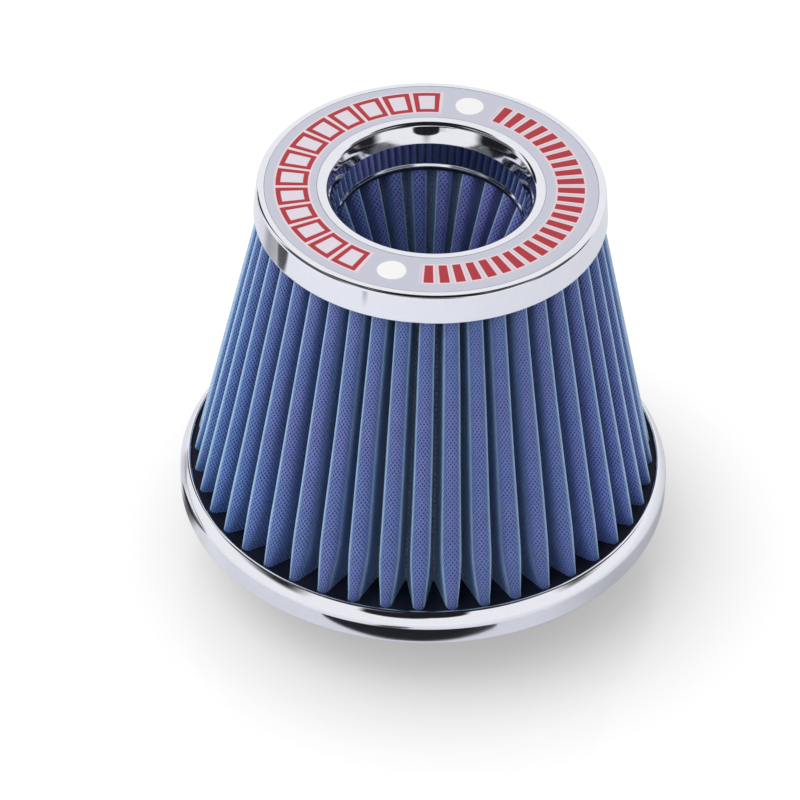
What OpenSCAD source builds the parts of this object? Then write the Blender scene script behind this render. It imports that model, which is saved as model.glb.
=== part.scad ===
// Cone air filter for an engine intake: a pleated outer cone and an inverted pleated inner cone,
// set in urethane between a bright top ring and a bright base ring, on a rubber neck with a clamp.
// Millimetres. The origin is the middle of the neck's lower end, +Z runs up through the inlet.

/* [Body] */
// Height from the base ring's lower edge to the top face
body_h = 118; // [110:1:126]
// Length of neck that stands out below the base ring
neck_out = 24; // [22:1:30]

/* [Top ring] */
// Radius of the top ring where the skirt starts
top_r = 53.1; // [52:0.1:56]
// Outward flare of the skirt at its lower edge
skirt_flare = 0.9; // [0:0.1:2]
// Height of the skirt below the top face
skirt_h = 9.7; // [8:0.1:12]
// Rounding between the top face and the skirt
edge_round = 1.8; // [1.5:0.1:2.5]
// Width of the top face, from the skirt inwards to the inlet
face_w = 23.8; // [23:0.1:24.6]
// Width of the inlet lip that slopes down to the collar
lip_w = 4.9; // [4.4:0.1:5.4]
// Rounding between the top face and the lip's slope
lip_round = 3.4; // [2.6:0.1:3.8]
// Angle between the lip's slope and the axis
lip_angle = 24; // [20:1:30]
// Depth of the collar below the top face
collar_h = 14.8; // [12.5:0.1:17]
// How much the collar narrows towards its lower edge
collar_taper = 0.2; // [0:0.1:0.8]
// How far the collar's lower edge is rolled inwards
roll_w = 0.5; // [0.3:0.1:0.7]
// Height of the roll at the collar's lower edge
roll_h = 1.2; // [0.9:0.1:1.6]
// Wall of the top ring
top_wall = 1.2; // [0.8:0.1:1.4]

/* [Face plate] */
// Thickness of the flat plate let into the top face
plate_t = 0.4; // [0.2:0.1:0.6]
// Bright rim left on both sides of the plate
plate_rim = 0.5; // [0.3:0.1:1]

/* [Filter layers] */
// Thickness of each wire screen
screen_t = 0.3; // [0.2:0.05:0.4]
// Thickness of the cotton gauze between the screens
media_t = 0.8; // [0.5:0.05:0.9]

/* [Outer pleats] */
// Number of pleats in the outer cone
pleats = 44; // [36:1:46]
// Depth of the outer pleats
pleat_depth = 13; // [10:0.5:14]
// Share of the pitch that a pleat's crest fills
crest_share = 0.62; // [0.58:0.01:0.68]
// Rounding at the bottom of a fold
fold_round = 0.5; // [0.3:0.05:0.7]
// Gap between the pleats and the skirt's lower edge
skirt_gap = 0.4; // [0.2:0.1:1]
// Gap between the pleats and the base ring's lip
lip_gap = 1; // [0.5:0.1:2]

/* [Inner pleats] */
// Number of pleats in the inner cone
inner_pleats = 24; // [20:1:25]
// Depth of the inner pleats
inner_depth = 7; // [5:0.25:8]
// Gap from the collar's inside inwards to the inner pleats
inner_inset = 0.1; // [0:0.1:0.3]
// Height of the inner cone between its urethane ends
inner_h = 36; // [30:1:45]
// Radius inside the pleats at the inner cone's lower end
inner_end_r = 16; // [15.5:0.1:18]

/* [Urethane] */
// Urethane behind the ends of the pleats
pot_cover = 1.5; // [1:0.1:2]
// How far the urethane stays above the skirt's lower edge
pot_inset = 2; // [1:0.1:3]
// How far the urethane reaches past the folds
pot_wall = 2; // [1.4:0.1:3]
// Height of the urethane bead below the collar
bead_h = 1; // [0.9:0.1:2.5]
// Urethane between the collar and the inner pleats' upper ends
bead_cover = 0.4; // [0.3:0.1:0.7]
// How deep the inner pleats are set in the end plug
inner_set = 3; // [2:0.1:4]
// Thickness of the end plug below the inner pleats
plug_t = 3; // [2:0.1:5]

/* [Base ring] */
// Outer radius of the base ring
base_r = 77.5; // [76.5:0.1:80]
// Height of the base ring
base_h = 11.5; // [10.5:0.1:13]
// Width of the lip turned in at the top
base_lip = 3.5; // [2.8:0.1:4]
// Width of the foot turned in at the bottom
base_foot = 3; // [2.2:0.1:4]
// Width of the flat left on the lip above the shoulder
lip_flat = 1; // [0.9:0.1:1.4]
// Height of the sloping shoulder between the lip and the ring's face
shoulder_h = 4; // [2.5:0.1:4.5]
// Rounding of the base ring's lower edge
foot_round = 2.6; // [1.8:0.1:2.9]
// Wall of the base ring
base_wall = 1.2; // [0.8:0.1:1.4]

/* [Neck] */
// Radius of the neck's bore, for a 76 mm pipe
bore_r = 38.1; // [35:0.1:40]
// Wall of the neck
neck_wall = 4.2; // [3.5:0.1:5]
// Thickness of the flange
flange_t = 3.4; // [3:0.1:4]
// Height of the rim that stands up round the bore inside
rim_h = 3; // [2:0.1:5]
// Rounding between the neck and the flange
neck_round = 3; // [1:0.1:4]
// How far the bead at the neck's end stands out
neck_bead = 1; // [0.5:0.1:1.5]
// Width of the bead at the neck's end
neck_bead_w = 3; // [2:0.1:4]

/* [Hose clamp] */
// Width of the clamp's band
band_w = 12.7; // [10:0.1:13]
// Thickness of the band
band_t = 0.7; // [0.5:0.05:0.9]
// Gap between the neck's bead and the band
band_gap = 1; // [0.5:0.1:2]
// Angle over which the band's tail laps the band
tail_angle = 110; // [80:1:160]
// Number of thread slots in the tail
tail_slots = 18; // [8:1:24]
// Radius of the clamp screw's worm
worm_r = 3.6; // [3:0.1:4]
// Clearance round the worm inside its housing
worm_gap = 0.2; // [0.1:0.05:0.4]
// Length of the screw's housing
housing_l = 15; // [12:0.5:18]
// Wall of the screw's housing
housing_wall = 0.9; // [0.7:0.1:1.2]
// Width of the screw's hexagon head across its flats
head_flats = 7; // [6:0.5:8]
// Length of the screw's head
head_l = 4.5; // [3:0.1:6]

/* [Hidden] */

// Share of the roll's height at which it stands furthest inwards
roll_share = 0.4;

// Segments of a full turn and of a rounded corner
$fn = 96;
corner_steps = 6;
// Length by which a cut runs past the surface it opens
past = 1;

// Levels, from the neck's end up
top_z = neck_out + body_h;
face_under_z = top_z - top_wall;
skirt_z = top_z - skirt_h;
collar_z = top_z - collar_h;
ring_top_z = neck_out + base_h;
flange_z = neck_out + base_wall;
flange_top_z = flange_z + flange_t;
pot_top_z = ring_top_z - base_wall;
pot_under_z = skirt_z + pot_inset;

// Inlet lip: a rounded edge, then a slope that meets the collar
mouth_r = top_r - face_w;
lip_r = mouth_r + lip_w;
lip_z = top_z - lip_round * (1 - sin(lip_angle))
    - (lip_w - lip_round * cos(lip_angle)) / tan(lip_angle);
lip_under_z = lip_z - top_wall * tan(lip_angle / 2);

// Plate let into the top face
plate_out_r = top_r - edge_round - plate_rim;
plate_in_r = lip_r + plate_rim;

// Base ring's shoulder: how far the inner corners shift so that the wall stays even
shoulder_w = base_lip - lip_flat;
shoulder_lean = atan2(shoulder_w, shoulder_h);
shoulder_in = base_wall * tan(shoulder_lean / 2);
shoulder_over = base_wall * tan((90 - shoulder_lean) / 2);

// Outer pleats: the line of the crests runs between the skirt and the base ring's lip
pack_t = 2 * screen_t + media_t;
crest_top_r = top_r + skirt_flare - top_wall - skirt_gap;
crest_base_r = base_r - base_lip - lip_gap;
crest_slope = (crest_base_r - crest_top_r) / (skirt_z - ring_top_z);
pack_z0 = flange_top_z + pot_cover;
pack_z1 = face_under_z - pot_cover;

// Inner pleats: they hang from the bead below the collar and end in the plug
collar_r = mouth_r - collar_taper;
bead_z = collar_z - bead_h;
inner_z1 = collar_z - bead_cover;
plug_top_z = bead_z - inner_h;
inner_z0 = plug_top_z - inner_set;
inner_top_r = collar_r - inner_inset;
inner_slope = (inner_top_r - inner_end_r) / inner_h;
// The inner pack is turned so that a fold, and not a crest, lies at the front
inner_turn = 180 / inner_pleats;

// Urethane: how thin it may be beside the pleats, and its reach inside the crests of the bead
pot_thin = 0.3;
pot_over = 0.3;

// One pleat is sampled at points on its crest's arc and on its fold's arc
outer_crest_steps = 4;
inner_crest_steps = 3;
fold_steps = 2;
crest_angle = 80;
fold_angle = 55;
// Least rounding left inside a crest
crest_spare = 0.2;

// Strip that closes the seam of a pack: its wall, its gap to the fold and its grip up the flanks
clip_t = 0.4;
clip_gap = 0.4;
clip_grip = 0.3;

// Hose clamp
neck_r = bore_r + neck_wall;
band_z = 2 * neck_bead + neck_bead_w + band_gap;
band_r = neck_r + band_t;
tail_r = band_r + band_t;
worm_y = tail_r + worm_r + worm_gap;
worm_z = band_z + band_w / 2;
worm_room = worm_r + worm_gap;
tail_first_angle = 75;
slot_w = 1.3;
slot_share = 0.6;
slot_lean = 8;
washer_t = 0.8;
washer_r = worm_room + housing_wall / 2;
screw_slot_w = 1.1;
screw_slot_d = 1.4;

function crest_r(z) = crest_top_r + crest_slope * (skirt_z - z);
function inner_r(z) = inner_top_r - inner_slope * (bead_z - z);
function outer_fold_r(z) = crest_r(z) - pleat_depth - pack_t;

// Points on an arc round (x, y), from angle a to angle b
function arc(x, y, r, a, b) =
    [for (i = [0:corner_steps]) let (t = a + (b - a) * i / corner_steps)
        [x + r * cos(t), y + r * sin(t)]];

// One sample of a pleat as [radius, sideways offset, azimuth], d outside the pleat's face. side is
// 1 where the crests point outwards and -1 where they point at the axis, k counts crest samples.
function pleat_sample(n, side, k, rc, depth, s, d) =
    let (round = max(crest_share * PI * rc / n, pack_t + crest_spare))
    s < k
        ? let (t = crest_angle * (2 * s / (k - 1) - 1))
            [rc - side * round + side * (round + d) * cos(t), (round + d) * sin(t), 0]
        : let (t = fold_angle * (2 * (s - k) / (fold_steps - 1) - 1))
            [rc - side * (depth - fold_round) - side * (fold_round - d) * cos(t),
                (fold_round - d) * sin(t), 180 / n];

// The same sample of pleat i as a point in space at height z
function pleat_point(n, side, k, rc, depth, z, i, s, d) =
    let (p = pleat_sample(n, side, k, rc, depth, s, d), a = 360 * i / n + p[2] - 90)
    [p[0] * cos(a) - p[1] * sin(a), p[0] * sin(a) + p[1] * cos(a), z];

// A closed ring of pleat samples at height z
function pleat_loop(n, side, k, rc, depth, z, d) =
    [for (i = [0:n - 1]) for (s = [0:k + fold_steps - 1])
        pleat_point(n, side, k, rc, depth, z, i, s, d)];

// The way round one fold from flank to flank, for the strip that grips its back
function fold_path(n, side, k, rc, depth, z, i, d) =
    let (first = pleat_point(n, side, k, rc, depth, z, i, k, d),
        last = pleat_point(n, side, k, rc, depth, z, i, k + fold_steps - 1, d),
        before = pleat_point(n, side, k, rc, depth, z, i, k - 1, d),
        after = pleat_point(n, side, k, rc, depth, z, i + 1, 0, d))
    [first + clip_grip * (before - first), first, last, last + clip_grip * (after - last)];

// Triangles between two rows of m points that start at points a and b, closed into rings or not.
// Both faces of a sheet are cut along the same diagonals, so that the next layer lies flush.
function strip_faces(m, a, b, closed, other_way) =
    [for (i = [0:m - (closed ? 1 : 2)]) let (j = (i + 1) % m)
        each other_way
            ? [[a + i, b + i, a + j], [b + i, b + j, a + j]]
            : [[a + i, b + i, b + j], [a + i, b + j, a + j]]];

// A pleated sheet between the depths d_out and d_in, from crest radius r0 at z0 to r1 at z1
module pleated_sheet(n, side, k, r0, z0, r1, z1, depth, d_out, d_in) {
    m = n * (k + fold_steps);
    outside = side > 0 ? d_out : d_in;
    inside = side > 0 ? d_in : d_out;
    points = concat(
        pleat_loop(n, side, k, r0, depth, z0, outside),
        pleat_loop(n, side, k, r1, depth, z1, outside),
        pleat_loop(n, side, k, r1, depth, z1, inside),
        pleat_loop(n, side, k, r0, depth, z0, inside));
    faces = [for (row = [0:3]) each strip_faces(m, row * m, (row + 1) % 4 * m, true, row == 2)];
    polyhedron(points, faces, convexity = 10);
}

// A thin strip bent round the back of fold i of a pack that runs from z0 to z1, between the
// heights low_z and high_z. It follows the pack's straight lines between its two ends.
module seam_strip(n, side, k, r0, z0, r1, z1, depth, i, low_z, high_z) {
    near = -pack_t - clip_gap;
    far = near - clip_t;
    outside = side > 0 ? near : far;
    inside = side > 0 ? far : near;
    m = 4;
    points = [for (row = [[low_z, outside], [high_z, outside], [high_z, inside], [low_z, inside]])
        let (share = (row[0] - z0) / (z1 - z0),
            first = fold_path(n, side, k, r0, depth, z0, i, row[1]),
            last = fold_path(n, side, k, r1, depth, z1, i, row[1]))
        each (1 - share) * first + share * last];
    faces = concat(
        [for (row = [0:3]) each strip_faces(m, row * m, (row + 1) % 4 * m, false, row == 2)],
        [[0, 3 * m, 2 * m], [0, 2 * m, m]],
        [[m - 1, 2 * m - 1, 3 * m - 1], [m - 1, 3 * m - 1, 4 * m - 1]]);
    polyhedron(points, faces, convexity = 4);
}

// The outer pack between two depths below its dirty face
module outer_layer(d_out, d_in) {
    pleated_sheet(pleats, 1, outer_crest_steps, crest_r(pack_z0), pack_z0, crest_r(pack_z1),
        pack_z1, pleat_depth, d_out, d_in);
}

// The inner pack between two depths below its dirty face
module inner_layer(d_out, d_in) {
    rotate([0, 0, inner_turn])
        pleated_sheet(inner_pleats, -1, inner_crest_steps, inner_r(inner_z0), inner_z0,
            inner_r(inner_z1), inner_z1, inner_depth, d_out, d_in);
}

// Bright top ring with its skirt, rolled lip and inlet collar
module top_ring() {
    color("gainsboro") rotate_extrude() polygon(concat(
        [[top_r + skirt_flare - top_wall, skirt_z], [top_r + skirt_flare, skirt_z]],
        arc(top_r - edge_round, top_z - edge_round, edge_round, 0, 90),
        [[plate_out_r, top_z], [plate_out_r, top_z - plate_t]],
        [[plate_in_r, top_z - plate_t], [plate_in_r, top_z]],
        arc(lip_r, top_z - lip_round, lip_round, 90, 180 - lip_angle),
        [[mouth_r, lip_z], [collar_r, collar_z + roll_h]],
        [[collar_r - roll_w, collar_z + roll_share * roll_h], [collar_r - roll_w, collar_z]],
        [[collar_r + top_wall, collar_z], [mouth_r + top_wall, lip_under_z]],
        arc(lip_r, top_z - lip_round, lip_round - top_wall, 180 - lip_angle, 90),
        arc(top_r - edge_round, top_z - edge_round, edge_round - top_wall, 90, 0)));
}

// Flat satin plate let into the top face
module face_plate() {
    color("lightsteelblue") translate([0, 0, top_z - plate_t])
        difference() {
            cylinder(r = plate_out_r, h = plate_t);
            translate([0, 0, -past]) cylinder(r = plate_in_r, h = plate_t + 2 * past);
        }
}

// Urethane that fills the top ring and holds the upper ends of both packs
module top_potting() {
    skirt_in_r = top_r - top_wall
        + skirt_flare * (top_z - edge_round - pot_under_z) / (skirt_h - edge_round);
    bead_in_r = inner_top_r - pot_over;
    bead_out_r = min(inner_r(inner_z1) + inner_depth + pack_t + pot_wall,
        outer_fold_r(bead_z) - pot_thin);
    color("midnightblue") difference() {
        rotate_extrude() polygon(concat(
            [[skirt_in_r, pot_under_z]],
            arc(top_r - edge_round, top_z - edge_round, edge_round - top_wall, 0, 90),
            arc(lip_r, top_z - lip_round, lip_round - top_wall, 90, 180 - lip_angle),
            [[mouth_r + top_wall, lip_under_z], [collar_r + top_wall, collar_z]],
            [[bead_in_r, collar_z], [bead_in_r, bead_z]],
            [[bead_out_r, bead_z], [outer_fold_r(pot_under_z) - pot_thin, pot_under_z]]));
        outer_layer(0, -pack_t);
        inner_layer(0, -pack_t);
    }
}

// Coated wire screen on the dirty side of the outer pack
module outer_screen() {
    color("royalblue") outer_layer(0, -screen_t);
}

// Oiled cotton gauze of the outer pack
module outer_media() {
    color("mediumblue") outer_layer(-screen_t, -screen_t - media_t);
}

// Wire screen on the clean side of the outer pack
module outer_backing_screen() {
    color("slategray") outer_layer(-screen_t - media_t, -pack_t);
}

// Folded strip that closes the outer pack's seam, on the clean side at the back
module outer_seam_clip() {
    color("silver") seam_strip(pleats, 1, outer_crest_steps, crest_r(pack_z0), pack_z0,
        crest_r(pack_z1), pack_z1, pleat_depth, floor(pleats / 2), pot_top_z, pot_under_z);
}

// Coated wire screen on the dirty side of the inner pack
module inner_screen() {
    color("royalblue") inner_layer(0, -screen_t);
}

// Oiled cotton gauze of the inner pack
module inner_media() {
    color("mediumblue") inner_layer(-screen_t, -screen_t - media_t);
}

// Wire screen on the clean side of the inner pack
module inner_backing_screen() {
    color("slategray") inner_layer(-screen_t - media_t, -pack_t);
}

// Folded strip that closes the inner pack's seam, on the clean side at the back
module inner_seam_clip() {
    color("silver") rotate([0, 0, inner_turn])
        seam_strip(inner_pleats, -1, inner_crest_steps, inner_r(inner_z0), inner_z0,
            inner_r(inner_z1), inner_z1, inner_depth, floor(inner_pleats / 2), plug_top_z,
            bead_z);
}

// Urethane disc that closes the lower end of the inner cone
module inner_plug() {
    plug_r = inner_r(plug_top_z) + inner_depth + pack_t + pot_wall;
    plug_z = inner_z0 - plug_t;
    plug_round = plug_t / 2;
    color("midnightblue") difference() {
        rotate_extrude() polygon(concat(
            [[0, plug_z]],
            arc(plug_r - plug_round, plug_z + plug_round, plug_round, -90, 0),
            [[plug_r, plug_top_z], [0, plug_top_z]]));
        inner_layer(0, -pack_t);
    }
}

// Urethane in the base ring that holds the lower end of the outer pack
module base_potting() {
    pot_in_r = outer_fold_r(pot_top_z) - pot_wall;
    color("midnightblue") difference() {
        rotate_extrude() polygon(concat(
            [[pot_in_r, flange_top_z], [base_r - base_wall, flange_top_z]],
            [[base_r - base_wall, ring_top_z - shoulder_h - shoulder_in]],
            [[base_r - shoulder_w - shoulder_over, pot_top_z], [pot_in_r, pot_top_z]]));
        outer_layer(0, -pack_t);
    }
}

// Bright base ring: a channel with a sloping shoulder, turned in at the top and at the foot
module base_ring() {
    color("gainsboro") rotate_extrude() polygon(concat(
        [[base_r - base_foot, neck_out]],
        arc(base_r - foot_round, neck_out + foot_round, foot_round, -90, 0),
        [[base_r, ring_top_z - shoulder_h], [base_r - shoulder_w, ring_top_z]],
        [[base_r - base_lip, ring_top_z], [base_r - base_lip, pot_top_z]],
        [[base_r - shoulder_w - shoulder_over, pot_top_z]],
        [[base_r - base_wall, ring_top_z - shoulder_h - shoulder_in]],
        arc(base_r - foot_round, neck_out + foot_round, foot_round - base_wall, 0, -90),
        [[base_r - base_foot, flange_z]]));
}

// Moulded rubber neck with the flange that stands on the base ring's foot
module neck_flange() {
    rim_r = bore_r + neck_wall / 2;
    color("dimgray") rotate_extrude() polygon(concat(
        [[bore_r, 0], [neck_r, 0], [neck_r + neck_bead, neck_bead]],
        [[neck_r + neck_bead, neck_bead + neck_bead_w], [neck_r, 2 * neck_bead + neck_bead_w]],
        arc(neck_r + neck_round, flange_z - neck_round, neck_round, 180, 90),
        arc(base_r - foot_round, neck_out + foot_round, foot_round - base_wall, -90, 0),
        [[base_r - base_wall, flange_top_z], [rim_r, flange_top_z]],
        [[rim_r, flange_top_z + rim_h], [bore_r, flange_top_z + rim_h]]));
}

// Band of the hose clamp, with a slotted tail lapped over it
module clamp_band() {
    color("silver") translate([0, 0, band_z]) difference() {
        cylinder(r = tail_r, h = band_w);
        translate([0, 0, -past]) cylinder(r = neck_r, h = band_w + 2 * past);
        translate([0, 0, -past]) rotate([0, 0, tail_first_angle + tail_angle])
            rotate_extrude(angle = 360 - tail_angle)
                translate([band_r, 0]) square([band_t + past, band_w + 2 * past]);
        for (i = [1:tail_slots])
            rotate([0, 0, tail_first_angle + tail_angle * i / (tail_slots + 1)])
                translate([tail_r, 0, band_w / 2]) rotate([slot_lean, 0, 0])
                    cube([2 * band_t, slot_w, band_w * slot_share], center = true);
    }
}

// Housing of the clamp screw: an arch on two feet that are folded round the band's edges
module clamp_housing() {
    foot_z = band_z - housing_wall;
    foot_h = band_w + 2 * housing_wall;
    color("silver") difference() {
        union() {
            translate([-housing_l / 2, neck_r, foot_z])
                cube([housing_l, tail_r + housing_wall - neck_r, foot_h]);
            translate([-housing_l / 2, tail_r, worm_z - worm_room - housing_wall])
                cube([housing_l, worm_y - tail_r, 2 * (worm_room + housing_wall)]);
            translate([-housing_l / 2, worm_y, worm_z]) rotate([0, 90, 0])
                cylinder(r = worm_room + housing_wall, h = housing_l);
        }
        translate([0, 0, band_z]) cylinder(r = tail_r, h = band_w);
        translate([0, 0, foot_z - past]) cylinder(r = band_r, h = foot_h + 2 * past);
        translate([-housing_l / 2 - past, worm_y, worm_z]) rotate([0, 90, 0])
            cylinder(r = worm_room, h = housing_l + 2 * past);
        translate([-housing_l / 2 - past, tail_r - past, worm_z - worm_room])
            cube([housing_l + 2 * past, worm_y - tail_r + past, 2 * worm_room]);
    }
}

// Clamp screw: the worm, its washer and a slotted hexagon head
module clamp_screw() {
    head_r = head_flats / sqrt(3);
    color("silver") translate([0, worm_y, worm_z]) rotate([0, 90, 0]) difference() {
        union() {
            translate([0, 0, -housing_l / 2]) cylinder(r = worm_r, h = housing_l);
            translate([0, 0, housing_l / 2]) cylinder(r = washer_r, h = washer_t);
            translate([0, 0, housing_l / 2 + washer_t]) cylinder(r = head_r, h = head_l, $fn = 6);
        }
        translate([0, 0, housing_l / 2 + washer_t + head_l])
            cube([2 * (head_r + past), screw_slot_w, 2 * screw_slot_d], center = true);
    }
}

top_ring();
face_plate();
top_potting();
outer_screen();
outer_media();
outer_backing_screen();
outer_seam_clip();
inner_screen();
inner_media();
inner_backing_screen();
inner_seam_clip();
inner_plug();
base_potting();
base_ring();
neck_flange();
clamp_band();
clamp_housing();
clamp_screw();
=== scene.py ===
"""Dresses the cone air filter: two pleated packs between bright rings, on a clamped rubber neck."""

import logging
import math
from dataclasses import dataclass, field
from enum import Enum
from typing import Any, Optional, Sequence, Union

import bpy
import numpy as np
from mathutils import Matrix, Vector

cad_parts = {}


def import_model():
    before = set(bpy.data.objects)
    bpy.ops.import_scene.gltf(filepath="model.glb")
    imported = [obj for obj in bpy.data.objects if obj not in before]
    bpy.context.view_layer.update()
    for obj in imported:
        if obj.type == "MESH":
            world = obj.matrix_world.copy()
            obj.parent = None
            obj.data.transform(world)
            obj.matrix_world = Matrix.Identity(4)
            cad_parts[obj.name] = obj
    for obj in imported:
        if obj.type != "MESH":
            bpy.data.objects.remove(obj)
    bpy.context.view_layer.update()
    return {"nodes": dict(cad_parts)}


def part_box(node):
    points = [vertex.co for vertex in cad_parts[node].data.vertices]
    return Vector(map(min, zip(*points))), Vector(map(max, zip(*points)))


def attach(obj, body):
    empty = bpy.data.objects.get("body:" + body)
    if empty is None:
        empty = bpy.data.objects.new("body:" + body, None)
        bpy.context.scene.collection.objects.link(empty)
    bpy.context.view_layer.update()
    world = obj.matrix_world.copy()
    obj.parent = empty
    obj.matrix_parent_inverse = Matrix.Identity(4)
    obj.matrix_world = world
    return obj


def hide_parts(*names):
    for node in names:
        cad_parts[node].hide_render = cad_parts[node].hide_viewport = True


log = logging.getLogger("filter")

MM = 0.001
TURN = 2 * math.pi
Array = np.ndarray
Number = Union[float, int]
Colour = tuple[float, float, float]
Span = tuple[float, float]


class Slot(Enum):
    """The record's material slots."""

    BRIGHT = "bright_ring"
    PLATE = "satin_plate"
    URETHANE = "urethane"
    SCREEN = "coated_screen"
    COTTON = "cotton_media"
    BACKING = "plain_screen"
    CLIP = "clip_steel"
    RUBBER = "neck_rubber"
    CLAMP = "clamp_steel"
    SCREW = "screw_steel"


def rgba(colour: Colour) -> tuple[float, float, float, float]:
    """A linear colour with full alpha."""
    return (*colour, 1.0)


class Tree:
    """A material's node tree, with one method that makes any node."""

    def __init__(self, material: bpy.types.Material) -> None:
        """Starts from an empty tree.

        Args:
            material: the material whose nodes are made.
        """
        material.use_nodes = True
        self.tree = material.node_tree
        self.tree.nodes.clear()

    def node(self, kind: str, settings: Optional[dict] = None, **sockets: Any) -> bpy.types.Node:
        """Makes a node, sets it up and fills its sockets.

        Args:
            kind: the node's type name without the ShaderNode prefix.
            settings: properties that are set before the sockets.
            sockets: values or links by socket name, with _ for a space, or i0, i1 for an index.

        Returns:
            The new node.
        """
        made = self.tree.nodes.new("ShaderNode" + kind)
        for name, value in (settings or {}).items():
            setattr(made, name, value)
        for name, value in sockets.items():
            indexed = name[0] == "i" and name[1:].isdigit()
            socket = made.inputs[int(name[1:]) if indexed else name.replace("_", " ")]
            self.feed(socket, value)
        return made

    def feed(self, socket: bpy.types.NodeSocket, value: Any) -> None:
        """Links or sets one socket.

        Args:
            socket: the input.
            value: a wire or a socket to link, or a value to set.
        """
        if isinstance(value, Wire):
            self.tree.links.new(value.socket, socket)
        elif isinstance(value, bpy.types.NodeSocket):
            self.tree.links.new(value, socket)
        else:
            socket.default_value = value

    def wire(self, kind: str, settings: Optional[dict] = None, out: Union[int, str] = 0,
             **sockets: Any) -> "Wire":
        """Makes a node and wraps one of its outputs."""
        return Wire(self, self.node(kind, settings, **sockets).outputs[out])

    def mix(self, share: "Wire", first: Any, second: Any) -> bpy.types.NodeSocket:
        """A colour mixed from two.

        Args:
            share: how much of the second colour there is.
            first: a linear colour or a socket.
            second: another one.

        Returns:
            The mixed colour's socket.
        """
        ends = [rgba(c) if isinstance(c, tuple) else c for c in (first, second)]
        node = self.node("Mix", {"data_type": "RGBA"}, i0=share, i6=ends[0], i7=ends[1])
        return node.outputs[2]

    def close(self, surface: bpy.types.NodeSocket, kind: str = "OutputMaterial") -> None:
        """Makes the output node and feeds its surface."""
        self.feed(self.node(kind).inputs["Surface"], surface)


class Wire:
    """A value socket that takes part in Python expressions, each adding a Math node."""

    def __init__(self, tree: Tree, socket: bpy.types.NodeSocket) -> None:
        """Wraps one output socket of a tree."""
        self.tree = tree
        self.socket = socket

    def math(self, operation: str, *others: Union["Wire", Number], first: bool = True) -> "Wire":
        """Adds a Math node.

        Args:
            operation: the node's operation.
            others: its further operands.
            first: whether this wire is the first operand.

        Returns:
            The node's result.
        """
        operands = (self, *others) if first else (*others, self)
        return self.tree.wire("Math", {"operation": operation},
                              **{f"i{n}": value for n, value in enumerate(operands)})

    def __add__(self, other: Union["Wire", Number]) -> "Wire":
        """The sum."""
        return self.math("ADD", other)

    def __radd__(self, other: Number) -> "Wire":
        """The sum with a number on the left."""
        return self.math("ADD", other)

    def __sub__(self, other: Union["Wire", Number]) -> "Wire":
        """The difference."""
        return self.math("SUBTRACT", other)

    def __rsub__(self, other: Number) -> "Wire":
        """The difference from a number."""
        return self.math("SUBTRACT", other, first=False)

    def __mul__(self, other: Union["Wire", Number]) -> "Wire":
        """The product."""
        return self.math("MULTIPLY", other)

    def __rmul__(self, other: Number) -> "Wire":
        """The product with a number on the left."""
        return self.math("MULTIPLY", other)

    def __truediv__(self, other: Union["Wire", Number]) -> "Wire":
        """The quotient."""
        return self.math("DIVIDE", other)

    def __rtruediv__(self, other: Number) -> "Wire":
        """A number divided by this value."""
        return self.math("DIVIDE", other, first=False)

    def __pow__(self, other: Number) -> "Wire":
        """The power."""
        return self.math("POWER", other)

    def __mod__(self, other: Number) -> "Wire":
        """The remainder, always positive."""
        return self.math("FLOORED_MODULO", other)

    def __abs__(self) -> "Wire":
        """The distance from zero."""
        return self.math("ABSOLUTE")

    def sin(self) -> "Wire":
        """The sine of an angle in radians."""
        return self.math("SINE")

    def low(self, other: Union["Wire", Number]) -> "Wire":
        """The smaller of two values."""
        return self.math("MINIMUM", other)

    def high(self, other: Union["Wire", Number]) -> "Wire":
        """The larger of two values."""
        return self.math("MAXIMUM", other)

    def ramp(self, start: Number, end: Number) -> "Wire":
        """A smooth step from 0 at start to 1 at end."""
        return self.tree.wire("MapRange", {"interpolation_type": "SMOOTHSTEP"}, Value=self,
                              From_Min=start, From_Max=end, To_Min=0.0, To_Max=1.0)


@dataclass(frozen=True)
class Grain:
    """A noise: how fine it is, its detail and how rough its finer parts are."""

    scale: float
    detail: float = 3.0
    rough: float = 0.5


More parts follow.
